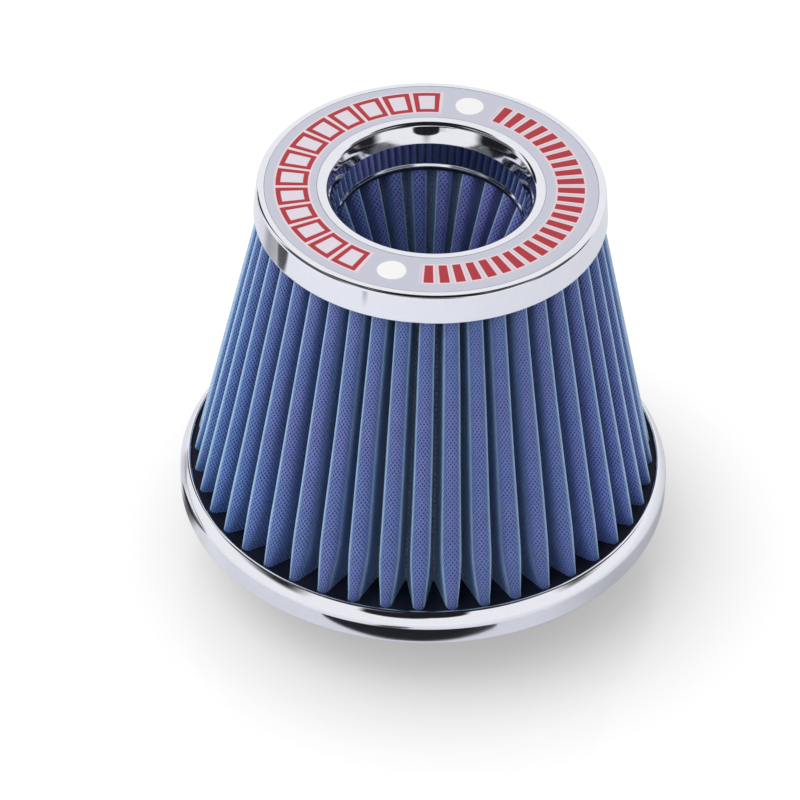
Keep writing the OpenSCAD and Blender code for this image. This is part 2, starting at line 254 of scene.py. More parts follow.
@dataclass(frozen=True)
class Finish:
    """A surface finish: the constants of a Principled shader, and what varies over the surface."""

    name: str
    colour: Colour
    roughness: float
    metallic: float = 0.0
    specular: float = 0.5
    sheen: float = 0.0
    sheen_colour: Colour = (1.0, 1.0, 1.0)

    def build(self) -> bpy.types.Material:
        """Makes the material: constants first, then the varying inputs.

        Returns:
            The finished material.
        """
        material = bpy.data.materials.new(self.name)
        tree = Tree(material)
        shader = tree.node("BsdfPrincipled", None, Base_Color=rgba(self.colour),
                           Roughness=self.roughness, Metallic=self.metallic)
        shader.inputs["Specular IOR Level"].default_value = self.specular
        shader.inputs["Sheen Weight"].default_value = self.sheen
        shader.inputs["Sheen Tint"].default_value = rgba(self.sheen_colour)
        self.vary(tree, shader)
        tree.close(shader.outputs["BSDF"])
        return material

    def vary(self, tree: Tree, shader: bpy.types.Node) -> None:
        """Adds what varies over the surface; each finish has its own."""

    def place(self, tree: Tree) -> bpy.types.NodeSocket:
        """The object coordinates in metres."""
        return tree.node("TexCoord").outputs["Object"]

    def map(self, tree: Tree) -> tuple[Wire, Wire]:
        """The piece's own UV map as two wires, in millimetres along the surface."""
        split = tree.node("SeparateXYZ", None, Vector=tree.node("UVMap").outputs["UV"])
        return Wire(tree, split.outputs["X"]), Wire(tree, split.outputs["Y"])

    def noise(self, tree: Tree, grain: Grain,
              vector: Optional[bpy.types.NodeSocket] = None) -> Wire:
        """Noise about 0.5, on object coordinates unless a vector is given."""
        where = vector if vector is not None else self.place(tree)
        return tree.wire("TexNoise", None, "Fac", Vector=where, Scale=grain.scale,
                         Detail=grain.detail, Roughness=grain.rough)

    def bump(self, tree: Tree, shader: bpy.types.Node, height: Wire, depth: float,
             strength: float) -> None:
        """Feeds the shader's normal with a bump of the given depth in metres."""
        node = tree.node("Bump", None, Height=height, Distance=depth, Strength=strength)
        tree.feed(shader.inputs["Normal"], node.outputs["Normal"])


@dataclass(frozen=True)
class Bright(Finish):
    """Bright plating: faint unevenness of the plate and a slight haze in patches."""

    broad: Grain = Grain(28.0, 2.0)
    fine: Grain = Grain(420.0)
    haze: float = 0.05
    haze_span: Span = (0.45, 0.8)
    cool_colour: Colour = (0.72, 0.74, 0.82)
    cool_share: float = 0.35
    fine_share: float = 0.05
    uneven: float = 0.00006
    strength: float = 0.25

    def vary(self, tree: Tree, shader: bpy.types.Node) -> None:
        """Haze follows broad noise, and the plate's unevenness is a very shallow bump.

        Args:
            tree: the material's tree.
            shader: its Principled shader.
        """
        broad = self.noise(tree, self.broad)
        fine = self.noise(tree, self.fine)
        tree.feed(shader.inputs["Roughness"],
                  self.roughness + self.haze * broad.ramp(*self.haze_span))
        tree.feed(shader.inputs["Base Color"],
                  tree.mix(fine * self.cool_share, self.colour, self.cool_colour))
        self.bump(tree, shader, broad + self.fine_share * fine, self.uneven, self.strength)


@dataclass(frozen=True)
class Urethane(Finish):
    """Cast urethane: dark, a little glossy, with small pits and a dusty bloom."""

    bloom: Grain = Grain(90.0, 4.0)
    pits: Grain = Grain(900.0, 2.0)
    bloom_span: Span = (0.4, 0.75)
    bloom_colour: Colour = (0.014, 0.017, 0.034)
    bloom_haze: float = 0.2
    pit_depth: float = 0.00012
    strength: float = 0.6

    def vary(self, tree: Tree, shader: bpy.types.Node) -> None:
        """Bloom lifts the colour in patches, and fine noise pits the skin.

        Args:
            tree: the material's tree.
            shader: its Principled shader.
        """
        bloom = self.noise(tree, self.bloom)
        pits = self.noise(tree, self.pits)
        tree.feed(shader.inputs["Base Color"],
                  tree.mix(bloom.ramp(*self.bloom_span), self.colour, self.bloom_colour))
        tree.feed(shader.inputs["Roughness"], self.roughness + self.bloom_haze * bloom)
        self.bump(tree, shader, pits + bloom, self.pit_depth, self.strength)


@dataclass(frozen=True)
class WireCloth(Finish):
    """Woven wire over cotton, with light and shade painted into its colour: crests are painted
    lighter and flanks darker, folds are dark and get a painted tone of their own, and wires cross
    in a diamond pattern with the cotton showing as dark dots between them. Lengths along the map
    are in mm, places in metres, and a span holds the start and the end of a smooth step."""

    pitch: float = 1.15
    rise: float = 0.62
    waver: Grain = Grain(260.0)
    waver_size: float = 1.6
    speck: Grain = Grain(1500.0, 2.0)
    speck_share: float = 0.7
    dot_span: Span = (0.2, 0.75)
    flank_span: Span = (0.08, 0.3)
    streak: Grain = Grain(190.0, 4.0, 0.6)
    streak_span: Span = (0.35, 0.65)
    ridge_span: Span = (0.7, 0.98)
    ridge_least: float = 0.45
    hole_colour: Colour = (0.01, 0.014, 0.055)
    cotton_share: float = 0.72
    # painted light and shade in the folds: lighter than the flanks on the outer screen, where it
    # lifts the folds' shade, and dark on the backing
    fold_painted_tone: Colour = (0.24, 0.28, 0.42)
    fold_span: Span = (0.5, 0.92)
    # painted light: the crests' colour, lighter than the flanks'
    crest_colour: Colour = (0.072, 0.11, 0.39)
    violet: Colour = (0.12, 0.1, 0.41)
    violet_share: float = 0.6
    violet_grain: Grain = Grain(42.0, 2.0)
    violet_span: Span = (0.4, 0.62)
    # painted light: the colour turns cyan on the pack's left side and blue on its right side, as
    # the light falls there
    left_painted_light: Colour = (0.012, 0.13, 0.52)
    right_painted_light: Colour = (0.045, 0.085, 0.56)
    painted_light_share: float = 0.8
    painted_light_span: Span = (0.036, 0.066)
    # painted light on the inner pack's right side, which the light from the left reaches
    inner_tint: Colour = (0.24, 0.2, 0.66)
    inner_span: Span = (0.034, 0.042)
    inner_side: Span = (-0.006, 0.02)
    # painted shade: how much darker the flanks are painted than the crests
    flank_painted_shade: Colour = (0.45, 0.42, 0.56)
    # painted glints on the wires, and on the twill lines of the flanks
    glint: Colour = (0.24, 0.32, 0.7)
    glint_power: float = 4.0
    glint_share: float = 0.45
    twill_share: float = 0.22
    # also the colour of the painted sheen on crests seen at a slant
    sheen_colour: Colour = (0.33, 0.46, 0.95)
    sheen_span: Span = (0.32, 0.82)
    sheen_share: float = 0.7
    sheen_least: float = 0.6
    sheen_gain: float = 0.8
    # painted rim light: a pale line on grazing crests
    rim_light_colour: Colour = (0.6, 0.75, 1.0)
    rim_span: Span = (0.42, 0.76)
    rim_ridge: Span = (0.55, 0.9)
    rim_share: float = 1.0
    rim_least: float = 0.45
    rim_gain: float = 0.9
    dot_haze: float = 0.25
    wire_depth: float = 0.00022
    strength: float = 0.9

    def vary(self, tree: Tree, shader: bpy.types.Node) -> None:
        """The depth attribute runs from 0 on a crest to 1 in a fold, and the colour follows it as
        painted light and shade. Two sets of diagonal wires cross, and one set gets stronger painted
        glints on the flanks, as in a twill. The colour goes from the flank's painted shade to the
        fold's painted tone and to the crest's painted light, then come the dark dots and the wires'
        painted glints.
        Last, crests seen at a slant get a painted sheen, and grazing ones a painted pale line.

        Args:
            tree: the material's tree.
            shader: its Principled shader.
        """
        depth = tree.wire("Attribute", {"attribute_name": "depth"}, "Fac")
        first, second = self.diagonals(tree)
        holes = (1.0 - first) * (1.0 - second)
        speck = self.noise(tree, self.speck)
        dots = (holes + self.speck_share * (speck - 0.5)).ramp(*self.dot_span)
        twill = first ** 2.0 * depth.ramp(*self.flank_span)
        wires = first.high(second)
        streak = self.noise(tree, self.streak)
        ridge = (1.0 - depth).ramp(*self.ridge_span)
        # painted shade on the flanks, a painted tone in the folds and painted light on the crests
        crest, flank = self.coating_and_painted_light(tree)
        body = tree.mix(depth.ramp(*self.fold_span), flank, self.fold_painted_tone)
        # painted highlight on the crests, uneven along the streaks
        crest_highlight = self.ridge_least + (1.0 - self.ridge_least) * streak.ramp(*self.streak_span)
        lit = tree.mix(ridge * crest_highlight, body, crest)
        tone = tree.mix(dots * self.cotton_share, lit, self.hole_colour)
        # painted glints on the wires and the twill lines
        shine = ((wires ** self.glint_power) * self.glint_share * (1.0 - depth)).high(
            twill * self.twill_share)
        glint = tree.mix(shine, tone, self.glint)
        facing = tree.wire("LayerWeight", None, "Facing", Blend=0.5)
        # painted sheen on crests seen at a slant, uneven along the streaks
        sheen = facing.ramp(*self.sheen_span) * ridge * self.sheen_share
        sheen = sheen * (self.sheen_least + self.sheen_gain * streak).low(1.0)
        soft = tree.mix(sheen, glint, self.sheen_colour)
        # painted rim light on grazing crests
        rim = facing.ramp(*self.rim_span) * (1.0 - depth).ramp(*self.rim_ridge)
        share = rim * self.rim_share * (self.rim_least + self.rim_gain * streak).low(1.0)
        tree.feed(shader.inputs["Base Color"], tree.mix(share, soft, self.rim_light_colour))
        tree.feed(shader.inputs["Roughness"], self.roughness + self.dot_haze * dots)
        self.bump(tree, shader, wires - dots, self.wire_depth, self.strength)

    def diagonals(self, tree: Tree) -> tuple[Wire, Wire]:
        """Two sets of diagonal wires, from 0 between wires to 1 on them: the sines of the sum and
        the difference of the map's two lengths, wavering a little.

        Args:
            tree: the material's tree.

        Returns:
            Both sets.
        """
        along, up = self.map(tree)
        turn = TURN / self.pitch
        waver = self.waver_size * self.noise(tree, self.waver)
        first = ((along + up * self.rise) * turn + waver).sin()
        second = ((along - up * self.rise) * turn - waver).sin()
        return first * 0.5 + 0.5, second * 0.5 + 0.5

    def coating_and_painted_light(self, tree: Tree) -> tuple[bpy.types.NodeSocket, bpy.types.NodeSocket]:
        """The wire's coat colour on crests and flanks, with painted light. Patches a few pleats
        wide lean towards violet. Painted light shifts the colour on the pack's left and right
        sides, and the inner pack has painted light of its own on its right side, which the light
        reaches.

        Args:
            tree: the material's tree.

        Returns:
            The crests' and the flanks' colour.
        """
        patch = self.noise(tree, self.violet_grain).ramp(*self.violet_span) * self.violet_share
        spread = tree.node("SeparateXYZ", None, Vector=self.place(tree))
        x, y = Wire(tree, spread.outputs["X"]), Wire(tree, spread.outputs["Y"])
        # painted light on the right side of the inner pack
        inside = 1.0 - ((x * x + y * y) ** 0.5).ramp(*self.inner_span)
        inner = inside * x.ramp(*self.inner_side) * self.painted_light_share
        # painted light on the pack's left and right sides
        left = (-1.0 * x).ramp(*self.painted_light_span) * self.painted_light_share
        right = x.ramp(*self.painted_light_span) * self.painted_light_share
        crest = tree.mix(patch, self.crest_colour, self.violet)
        flank = tree.mix(patch, self.colour, self.flank_shaded(self.violet))
        tints = ((left, self.left_painted_light), (right, self.right_painted_light), (inner, self.inner_tint))
        for share, tint in tints:
            crest = tree.mix(share, crest, tint)
            flank = tree.mix(share, flank, self.flank_shaded(tint))
        return crest, flank

    def flank_shaded(self, colour: Colour) -> Colour:
        """A colour darkened for the flanks: painted shade."""
        return tuple(tone * part for tone, part in zip(self.flank_painted_shade, colour))


@dataclass(frozen=True)
class Cotton(Finish):
    """Dyed cotton gauze: fine threads both ways."""

    thread: float = 0.7
    thread_share: float = 0.25
    fuzz: Grain = Grain(500.0)
    fuzz_span: Span = (0.2, 0.9)
    pale_colour: Colour = (0.12, 0.17, 0.45)
    thread_depth: float = 0.0002
    strength: float = 0.7

    def vary(self, tree: Tree, shader: bpy.types.Node) -> None:
        """Threads are sines of the map's two lengths, uneven by noise.

        Args:
            tree: the material's tree.
            shader: its Principled shader.
        """
        along, up = self.map(tree)
        turn = TURN / self.thread
        threads = (along * turn).sin() * (up * turn).sin()
        fuzz = self.noise(tree, self.fuzz)
        pale = (threads * self.thread_share + fuzz).ramp(*self.fuzz_span)
        tree.feed(shader.inputs["Base Color"],
                  tree.mix(pale, self.colour, self.pale_colour))
        self.bump(tree, shader, threads + fuzz, self.thread_depth, self.strength)


@dataclass(frozen=True)
class Plate(Finish):
    """Satin plate: faint turning marks, with two printed arcs and a plain disc in each gap. One
    arc is a row of hollow blocks, the other a row of solid bars, both with a pale edge. The map
    holds the azimuth in degrees and the radius in mm."""

    bar_colour: Colour = (0.45, 0.01, 0.022)
    edge_colour: Colour = (0.86, 0.7, 0.76)
    core_colour: Colour = (0.8, 0.74, 0.82)
    disc_colour: Colour = (1.0, 1.0, 1.0)
    middle: float = 42.4
    bar_high: float = 4.1
    bar_step: float = 6.0
    bar_half: float = 1.35
    block_high: float = 4.9
    block_step: float = 12.0
    block_half: float = 3.9
    line: float = 1.5
    gap_azimuth: float = 75.0
    gap_mm: float = 9.0
    disc_r: float = 4.2
    disc_soft: float = 0.3
    ink_span: Span = (-0.12, 0.12)
    edge_span: Span = (0.45, 0.75)
    side_span: Span = (179.9, 180.1)
    degree: float = math.radians(1)
    half_turn: float = 180.0
    marks: Grain = Grain(1.0, 2.0)
    mark_rate: float = 6.0
    mark_span: Span = (0.3, 0.7)
    mark_colour: Colour = (0.6, 0.61, 0.72)
    ink_height: float = 2.0
    mark_depth: float = 0.00003
    strength: float = 0.35

    def vary(self, tree: Tree, shader: bpy.types.Node) -> None:
        """A bar is where a point lies within half a bar's width along the arc and half the band's
        width across it. The same distance, a little larger, gives the pale edge.

        Args:
            tree: the material's tree.
            shader: its Principled shader.
        """
        azimuth, radius = self.map(tree)
        across = radius - self.middle
        around = azimuth - self.gap_azimuth
        from_gap = (around + self.half_turn / 2) % self.half_turn - self.half_turn / 2
        arc_mm = from_gap * (self.degree * self.middle)
        clear = self.gap_mm - abs(arc_mm)
        left = 1.0 - (around % (2 * self.half_turn)).ramp(*self.side_span)
        bars = self.row(azimuth, self.bar_step, self.bar_half).high(
            abs(across) - self.bar_high).high(clear)
        blocks = self.row(azimuth, self.block_step, self.block_half).high(
            abs(across) - self.block_high).high(clear)
        far = blocks * left + bars * (1.0 - left)
        red = 1.0 - far.ramp(*self.ink_span)
        edge = 1.0 - far.ramp(*self.edge_span)
        core = (1.0 - (blocks + self.line).ramp(*self.ink_span)) * left
        reach = (arc_mm * arc_mm + across * across) ** 0.5
        disc = 1.0 - reach.ramp(self.disc_r, self.disc_r + self.disc_soft)
        marks = self.noise(tree, self.marks, self.rings(tree, radius))
        plain = tree.mix(marks.ramp(*self.mark_span), self.colour, self.mark_colour)
        rimmed = tree.mix(edge, plain, self.edge_colour)
        edged = tree.mix(core, rimmed, self.core_colour)
        barred = tree.mix(red - core, edged, self.bar_colour)
        ink = edge.high(disc)
        tree.feed(shader.inputs["Base Color"], tree.mix(disc, barred, self.disc_colour))
        tree.feed(shader.inputs["Metallic"], self.metallic * (1.0 - ink))
        self.bump(tree, shader, marks + self.ink_height * ink, self.mark_depth, self.strength)

    def row(self, azimuth: Wire, step: float, half: float) -> Wire:
        """How far a point lies outside the nearest of a row of even cells, along the arc."""
        cell = (azimuth - self.gap_azimuth) % step - step / 2
        return abs(cell * (self.degree * self.middle)) - half

    def rings(self, tree: Tree, radius: Wire) -> bpy.types.NodeSocket:
        """A vector that changes with the radius alone, for turning marks."""
        return tree.node("CombineXYZ", None, X=radius * self.mark_rate).outputs["Vector"]


@dataclass(frozen=True)
class Rubber(Finish):
    """Moulded rubber: fine grain and a pale bloom."""

    grain: Grain = Grain(1600.0, 2.0)
    bloom: Grain = Grain(60.0, 4.0)
    bloom_span: Span = (0.4, 0.8)
    bloom_colour: Colour = (0.045, 0.045, 0.05)
    bloom_haze: float = 0.15
    grain_depth: float = 0.00008
    strength: float = 0.7

    def vary(self, tree: Tree, shader: bpy.types.Node) -> None:
        """Grain is fine noise in the bump, bloom is broad noise in colour and roughness.

        Args:
            tree: the material's tree.
            shader: its Principled shader.
        """
        grain = self.noise(tree, self.grain)
        bloom = self.noise(tree, self.bloom)
        tree.feed(shader.inputs["Base Color"],
                  tree.mix(bloom.ramp(*self.bloom_span), self.colour, self.bloom_colour))
        tree.feed(shader.inputs["Roughness"], self.roughness + self.bloom_haze * bloom)
        self.bump(tree, shader, grain + bloom, self.grain_depth, self.strength)


@dataclass(frozen=True)
class Brushed(Finish):
    """Rolled or turned steel: short streaks and light wear."""

    stretch: float = 14.0
    streaks: Grain = Grain(260.0, 4.0, 0.6)
    wear: Grain = Grain(120.0)
    streak_span: Span = (0.35, 0.7)
    streak_colour: Colour = (0.42, 0.42, 0.43)
    wear_haze: float = 0.2
    streak_depth: float = 0.00004
    strength: float = 0.5

    def vary(self, tree: Tree, shader: bpy.types.Node) -> None:
        """Streaks are noise squeezed across the rolling direction.

        Args:
            tree: the material's tree.
            shader: its Principled shader.
        """
        spread = tree.node("Mapping", None, Vector=self.place(tree),
                           Scale=(1.0, 1.0, self.stretch))
        streaks = self.noise(tree, self.streaks, spread.outputs["Vector"])
        wear = self.noise(tree, self.wear)
        tree.feed(shader.inputs["Base Color"],
                  tree.mix(streaks.ramp(*self.streak_span), self.colour, self.streak_colour))
        tree.feed(shader.inputs["Roughness"], self.roughness + self.wear_haze * wear)
        self.bump(tree, shader, streaks, self.streak_depth, self.strength)


@dataclass
class Finishes:
    """Every finish of the filter, made once and looked up by slot."""

    made: dict[Slot, bpy.types.Material] = field(default_factory=dict)

    def build(self) -> "Finishes":
        """Makes all the materials.

        Returns:
            Itself.
        """
        recipes = {
            Slot.BRIGHT: Bright("bright_plate", (0.87, 0.88, 0.93), roughness=0.05,
                                metallic=1.0),
            Slot.PLATE: Plate("satin_plate", (0.66, 0.67, 0.77), roughness=0.38, metallic=0.45),
            Slot.URETHANE: Urethane("urethane", (0.006, 0.008, 0.018), roughness=0.55,
                                    specular=0.25),
            Slot.SCREEN: WireCloth("coated_screen", (0.04, 0.06, 0.31), roughness=0.45,
                                   sheen=0.5, sheen_colour=(0.3, 0.7, 1.0)),
            Slot.COTTON: Cotton("cotton_gauze", (0.045, 0.07, 0.28), roughness=0.85),
            # the backing's crests are painted light and its folds painted dark
            Slot.BACKING: WireCloth("plain_screen", (0.16, 0.17, 0.2), roughness=0.4,
                                    metallic=0.6, crest_colour=(0.4, 0.41, 0.44),
                                    fold_painted_tone=(0.03, 0.035, 0.07), violet_share=0.0,
                                    painted_light_share=0.0),
            Slot.CLIP: Brushed("clip_strip", (0.55, 0.56, 0.58), roughness=0.3, metallic=1.0),
            Slot.RUBBER: Rubber("neck_rubber", (0.016, 0.016, 0.018), roughness=0.5),
            Slot.CLAMP: Brushed("clamp_strip", (0.62, 0.63, 0.65), roughness=0.22,
                                metallic=1.0),
            Slot.SCREW: Brushed("screw_zinc", (0.5, 0.5, 0.52), roughness=0.28, metallic=1.0,
                                stretch=3.0),
        }
        self.made = {slot: finish.build() for slot, finish in recipes.items()}
        return self

    def __getitem__(self, slot: Slot) -> bpy.types.Material:
        """The material of a slot."""
        return self.made[slot]


def mesh_object(name: str, points: Array, faces: Array, uv: Optional[Array] = None,
                attributes: Optional[dict[str, Array]] = None) -> bpy.types.Object:
    """Puts whole arrays into a new smooth mesh object at the origin.

    Args:
        name: the object's name.
        points: n x 3 positions in millimetres.
        faces: m x 4 or m x 3 point numbers.
        uv: map positions, one per face corner.
        attributes: point attributes by name.

    Returns:
        The new object, linked to the scene.
    """
    mesh = bpy.data.meshes.new(name)
    count, corners = faces.shape
    mesh.vertices.add(len(points))
    mesh.vertices.foreach_set("co", (points * MM).astype(np.float32).ravel())
    mesh.loops.add(count * corners)
    mesh.loops.foreach_set("vertex_index", faces.astype(np.int32).ravel())
    mesh.polygons.add(count)
    mesh.polygons.foreach_set("loop_start", np.arange(0, count * corners, corners, dtype=np.int32))
    mesh.update(calc_edges=True)
    mesh.polygons.foreach_set("use_smooth", np.ones(count, bool))
    if uv is not None:
        layer = mesh.uv_layers.new(name="UVMap")
        layer.data.foreach_set("uv", uv.astype(np.float32).ravel())
    for key, values in (attributes or {}).items():
        made = mesh.attributes.new(key, "FLOAT", "POINT")
        made.data.foreach_set("value", values.astype(np.float32).ravel())
    mesh.validate()
    mesh.update()
    made_object = bpy.data.objects.new(name, mesh)
    bpy.context.scene.collection.objects.link(made_object)
    return made_object


def grid_faces(rows: int, columns: int, open_rows: int = 0, open_columns: int = 0) -> Array:
    """Faces of a grid whose last row and column join the first ones.

    Args:
        rows: points one way.
        columns: points the other way.
        open_rows: 1 where the last row doesn't join the first.
        open_columns: 1 where the last column doesn't join the first.

    Returns:
        m x 4 point numbers.
    """
    i, j = np.meshgrid(np.arange(rows - open_rows), np.arange(columns - open_columns),
                       indexing="ij")
    k, l = (i + 1) % rows, (j + 1) % columns
    return np.stack([i * columns + j, i * columns + l, k * columns + l, k * columns + j],
                    -1).reshape(-1, 4)


def grid_uv(u: Array, v: Array) -> Array:
    """Corner map of a grid that closes both ways.

    Args:
        u: the map's value at each column's edge, one more than the columns.
        v: its value at each row's edge, one more than the rows.

    Returns:
        One position per face corner.
    """
    i, j = np.meshgrid(np.arange(len(v) - 1), np.arange(len(u) - 1), indexing="ij")
    corners = [(j, i), (j + 1, i), (j + 1, i + 1), (j, i + 1)]
    return np.stack([np.stack([u[a], v[b]], -1) for a, b in corners], 2).reshape(-1, 2)


def turned(points: Array, angle: float) -> Array:
    """Points of a plane turned about its origin."""
    x, y = points[..., 0], points[..., 1]
    return np.stack([x * math.cos(angle) - y * math.sin(angle),
                     x * math.sin(angle) + y * math.cos(angle)], -1)


@dataclass(frozen=True)
class Corner:
    """A corner of a section in millimetres, with the radius that rounds it."""

    r: float
    z: float
    round: float = 0.0


def corner_arc(here: Array, back: Array, on: Array, radius: float, steps: int) -> Array:
    """An arc tangent to both sides of a corner. It starts and ends at the radius over the tangent
    of half the corner's angle, and its middle lies on the line that halves the angle.

    Args:
        here: the corner.
        back: the direction back along the first side.
        on: the direction on along the second side.
        radius: the arc's radius.
        steps: the arc's steps.

    Returns:
        n x 2 points from the first side to the second.
    """
    half = half_angle(back, on)
    trim = radius / math.tan(half)
    middle = here + (back + on) / np.linalg.norm(back + on) * radius / math.sin(half)
    t0 = math.atan2(*(here + back * trim - middle)[::-1])
    t1 = math.atan2(*(here + on * trim - middle)[::-1])
    sweep = (t1 - t0 + math.pi) % TURN - math.pi
    t = t0 + sweep * np.linspace(0, 1, steps + 1)
    return middle + radius * np.stack([np.cos(t), np.sin(t)], -1)


def half_angle(back: Array, on: Array) -> float:
    """Half the angle between two unit directions."""
    return math.acos(float(np.clip(back @ on, -1, 1))) / 2


@dataclass
class Section:
    """A closed section of a round piece, with rounded corners. Going round it anticlockwise in
    (radius, height) leaves the inside of the material on the left. An arc takes up no more than
    its share of the shorter side."""

    corners: list[Corner]
    steps: int = 6
    least_round: float = 0.02
    side_share: float = 0.49
    support: float = 0.12
    support_share: float = 0.2

    def points(self) -> Array:
        """The outline. Each rounded corner becomes an arc tangent to both sides, with one more
        point just past each tangent point that keeps the flats flat when shaded smooth.

        Returns:
            n x 2 radii and heights.
        """
        made: list[Array] = []
        places = np.array([[corner.r, corner.z] for corner in self.corners])
        for n, corner in enumerate(self.corners):
            here = places[n]
            sides = (places[n - 1] - here, places[(n + 1) % len(places)] - here)
            reach = [np.linalg.norm(side) for side in sides]
            back, on = sides[0] / reach[0], sides[1] / reach[1]
            slope = math.tan(half_angle(back, on))
            trim = min(max(corner.round, self.least_round) / slope,
                       self.side_share * min(reach))
            arc = corner_arc(here, back, on, trim * slope, self.steps)
            extra = min(self.support, self.support_share * (min(reach) - trim))
            made += [arc[:1] + back * extra, arc, arc[-1:] + on * extra]
        return np.concatenate(made)


def rounded_path(corners: Sequence[tuple[float, float, float]], steps: int) -> Array:
    """An open path of straight runs joined by arcs tangent to both.

    Args:
        corners: x, y and rounding of each corner; the ends have no rounding.
        steps: steps of each arc.

    Returns:
        n x 2 points.
    """
    places = np.array([corner[:2] for corner in corners])
    made = [places[:1]]
    for n in range(1, len(corners) - 1):
        sides = (places[n - 1] - places[n], places[n + 1] - places[n])
        back, on = (side / np.linalg.norm(side) for side in sides)
        made.append(corner_arc(places[n], back, on, corners[n][2], steps))
    return np.concatenate([*made, places[-1:]])


def smooth(value: Array, start: float, end: float) -> Array:
    """A smooth step from 0 at start to 1 at end."""
    t = np.clip((value - start) / (end - start), 0, 1)
    return t * t * (3 - 2 * t)


def revolve(name: str, section: Section, columns: int = 256) -> bpy.types.Object:
    """Turns a closed section about the Z axis: x = r cos a, y = r sin a. The map is the azimuth
    in degrees and the radius, both as they are, for the plate's print and the turning marks.

    Args:
        name: the new object's name.
        section: its closed section.
        columns: steps of a full turn.

    Returns:
        The new object.
    """
    outline = section.points()[::-1]
    angle = np.arange(columns) / columns * TURN
    x = outline[:, :1] * np.cos(angle)
    y = outline[:, :1] * np.sin(angle)
    z = np.repeat(outline[:, 1:], columns, 1)
    points = np.stack([x, y, z], -1).reshape(-1, 3)
    u = np.arange(columns + 1) / columns * 360
    v = np.append(outline[:, 0], outline[0, 0])
    faces = grid_faces(len(outline), columns)[:, ::-1]
    uv = grid_uv(u, v).reshape(-1, 4, 2)[:, ::-1].reshape(-1, 2)
    return mesh_object(name, points, faces, uv)


@dataclass
class Filter:
    """Sizes shared by the sub-assemblies, in millimetres, read from the frame where it has them."""

    top_z: float
    skirt_r: float
    collar_z: float
    ring_z: float
    ring_top_z: float
    ring_r: float
    flange_top_z: float
    rim_z: float
    plate_r: float
    pack_r: float
    pack_z: Span
    inner_z: Span
    skirt_h: float = 9.7
    wall: float = 1.2
    lip: float = 3.5
    bore_r: float = 38.1
    neck_wall: float = 4.2

    @classmethod
    def from_frame(cls) -> "Filter":
        """Reads the levels and radii from the CAD nodes' boxes.

        Returns:
            The sizes.
        """
        nodes = ("top_ring", "base_ring", "neck_flange", "base_potting", "face_plate",
                 "outer_screen", "inner_screen")
        boxes = [np.array([list(end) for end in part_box(node)]) / MM for node in nodes]
        top, base, flange, potting, plate, outer, inner = boxes
        return cls(top_z=top[1][2], skirt_r=top[1][0], collar_z=top[0][2], ring_z=base[0][2],
                   ring_top_z=base[1][2], ring_r=base[1][0], flange_top_z=potting[0][2],
                   rim_z=flange[1][2], plate_r=plate[1][0], pack_r=(outer[1][1] - outer[0][1]) / 2,
                   pack_z=(outer[0][2], outer[1][2]), inner_z=(inner[0][2], inner[1][2]))

    @property
    def skirt_z(self) -> float:
        """The top ring's lower edge."""
        return self.top_z - self.skirt_h

    @property
    def flange_z(self) -> float:
        """The flange's underside, which lies on the base ring's foot."""
        return self.ring_z + self.wall

    @property
    def neck_r(self) -> float:
        """The neck's outer radius."""
        return self.bore_r + self.neck_wall


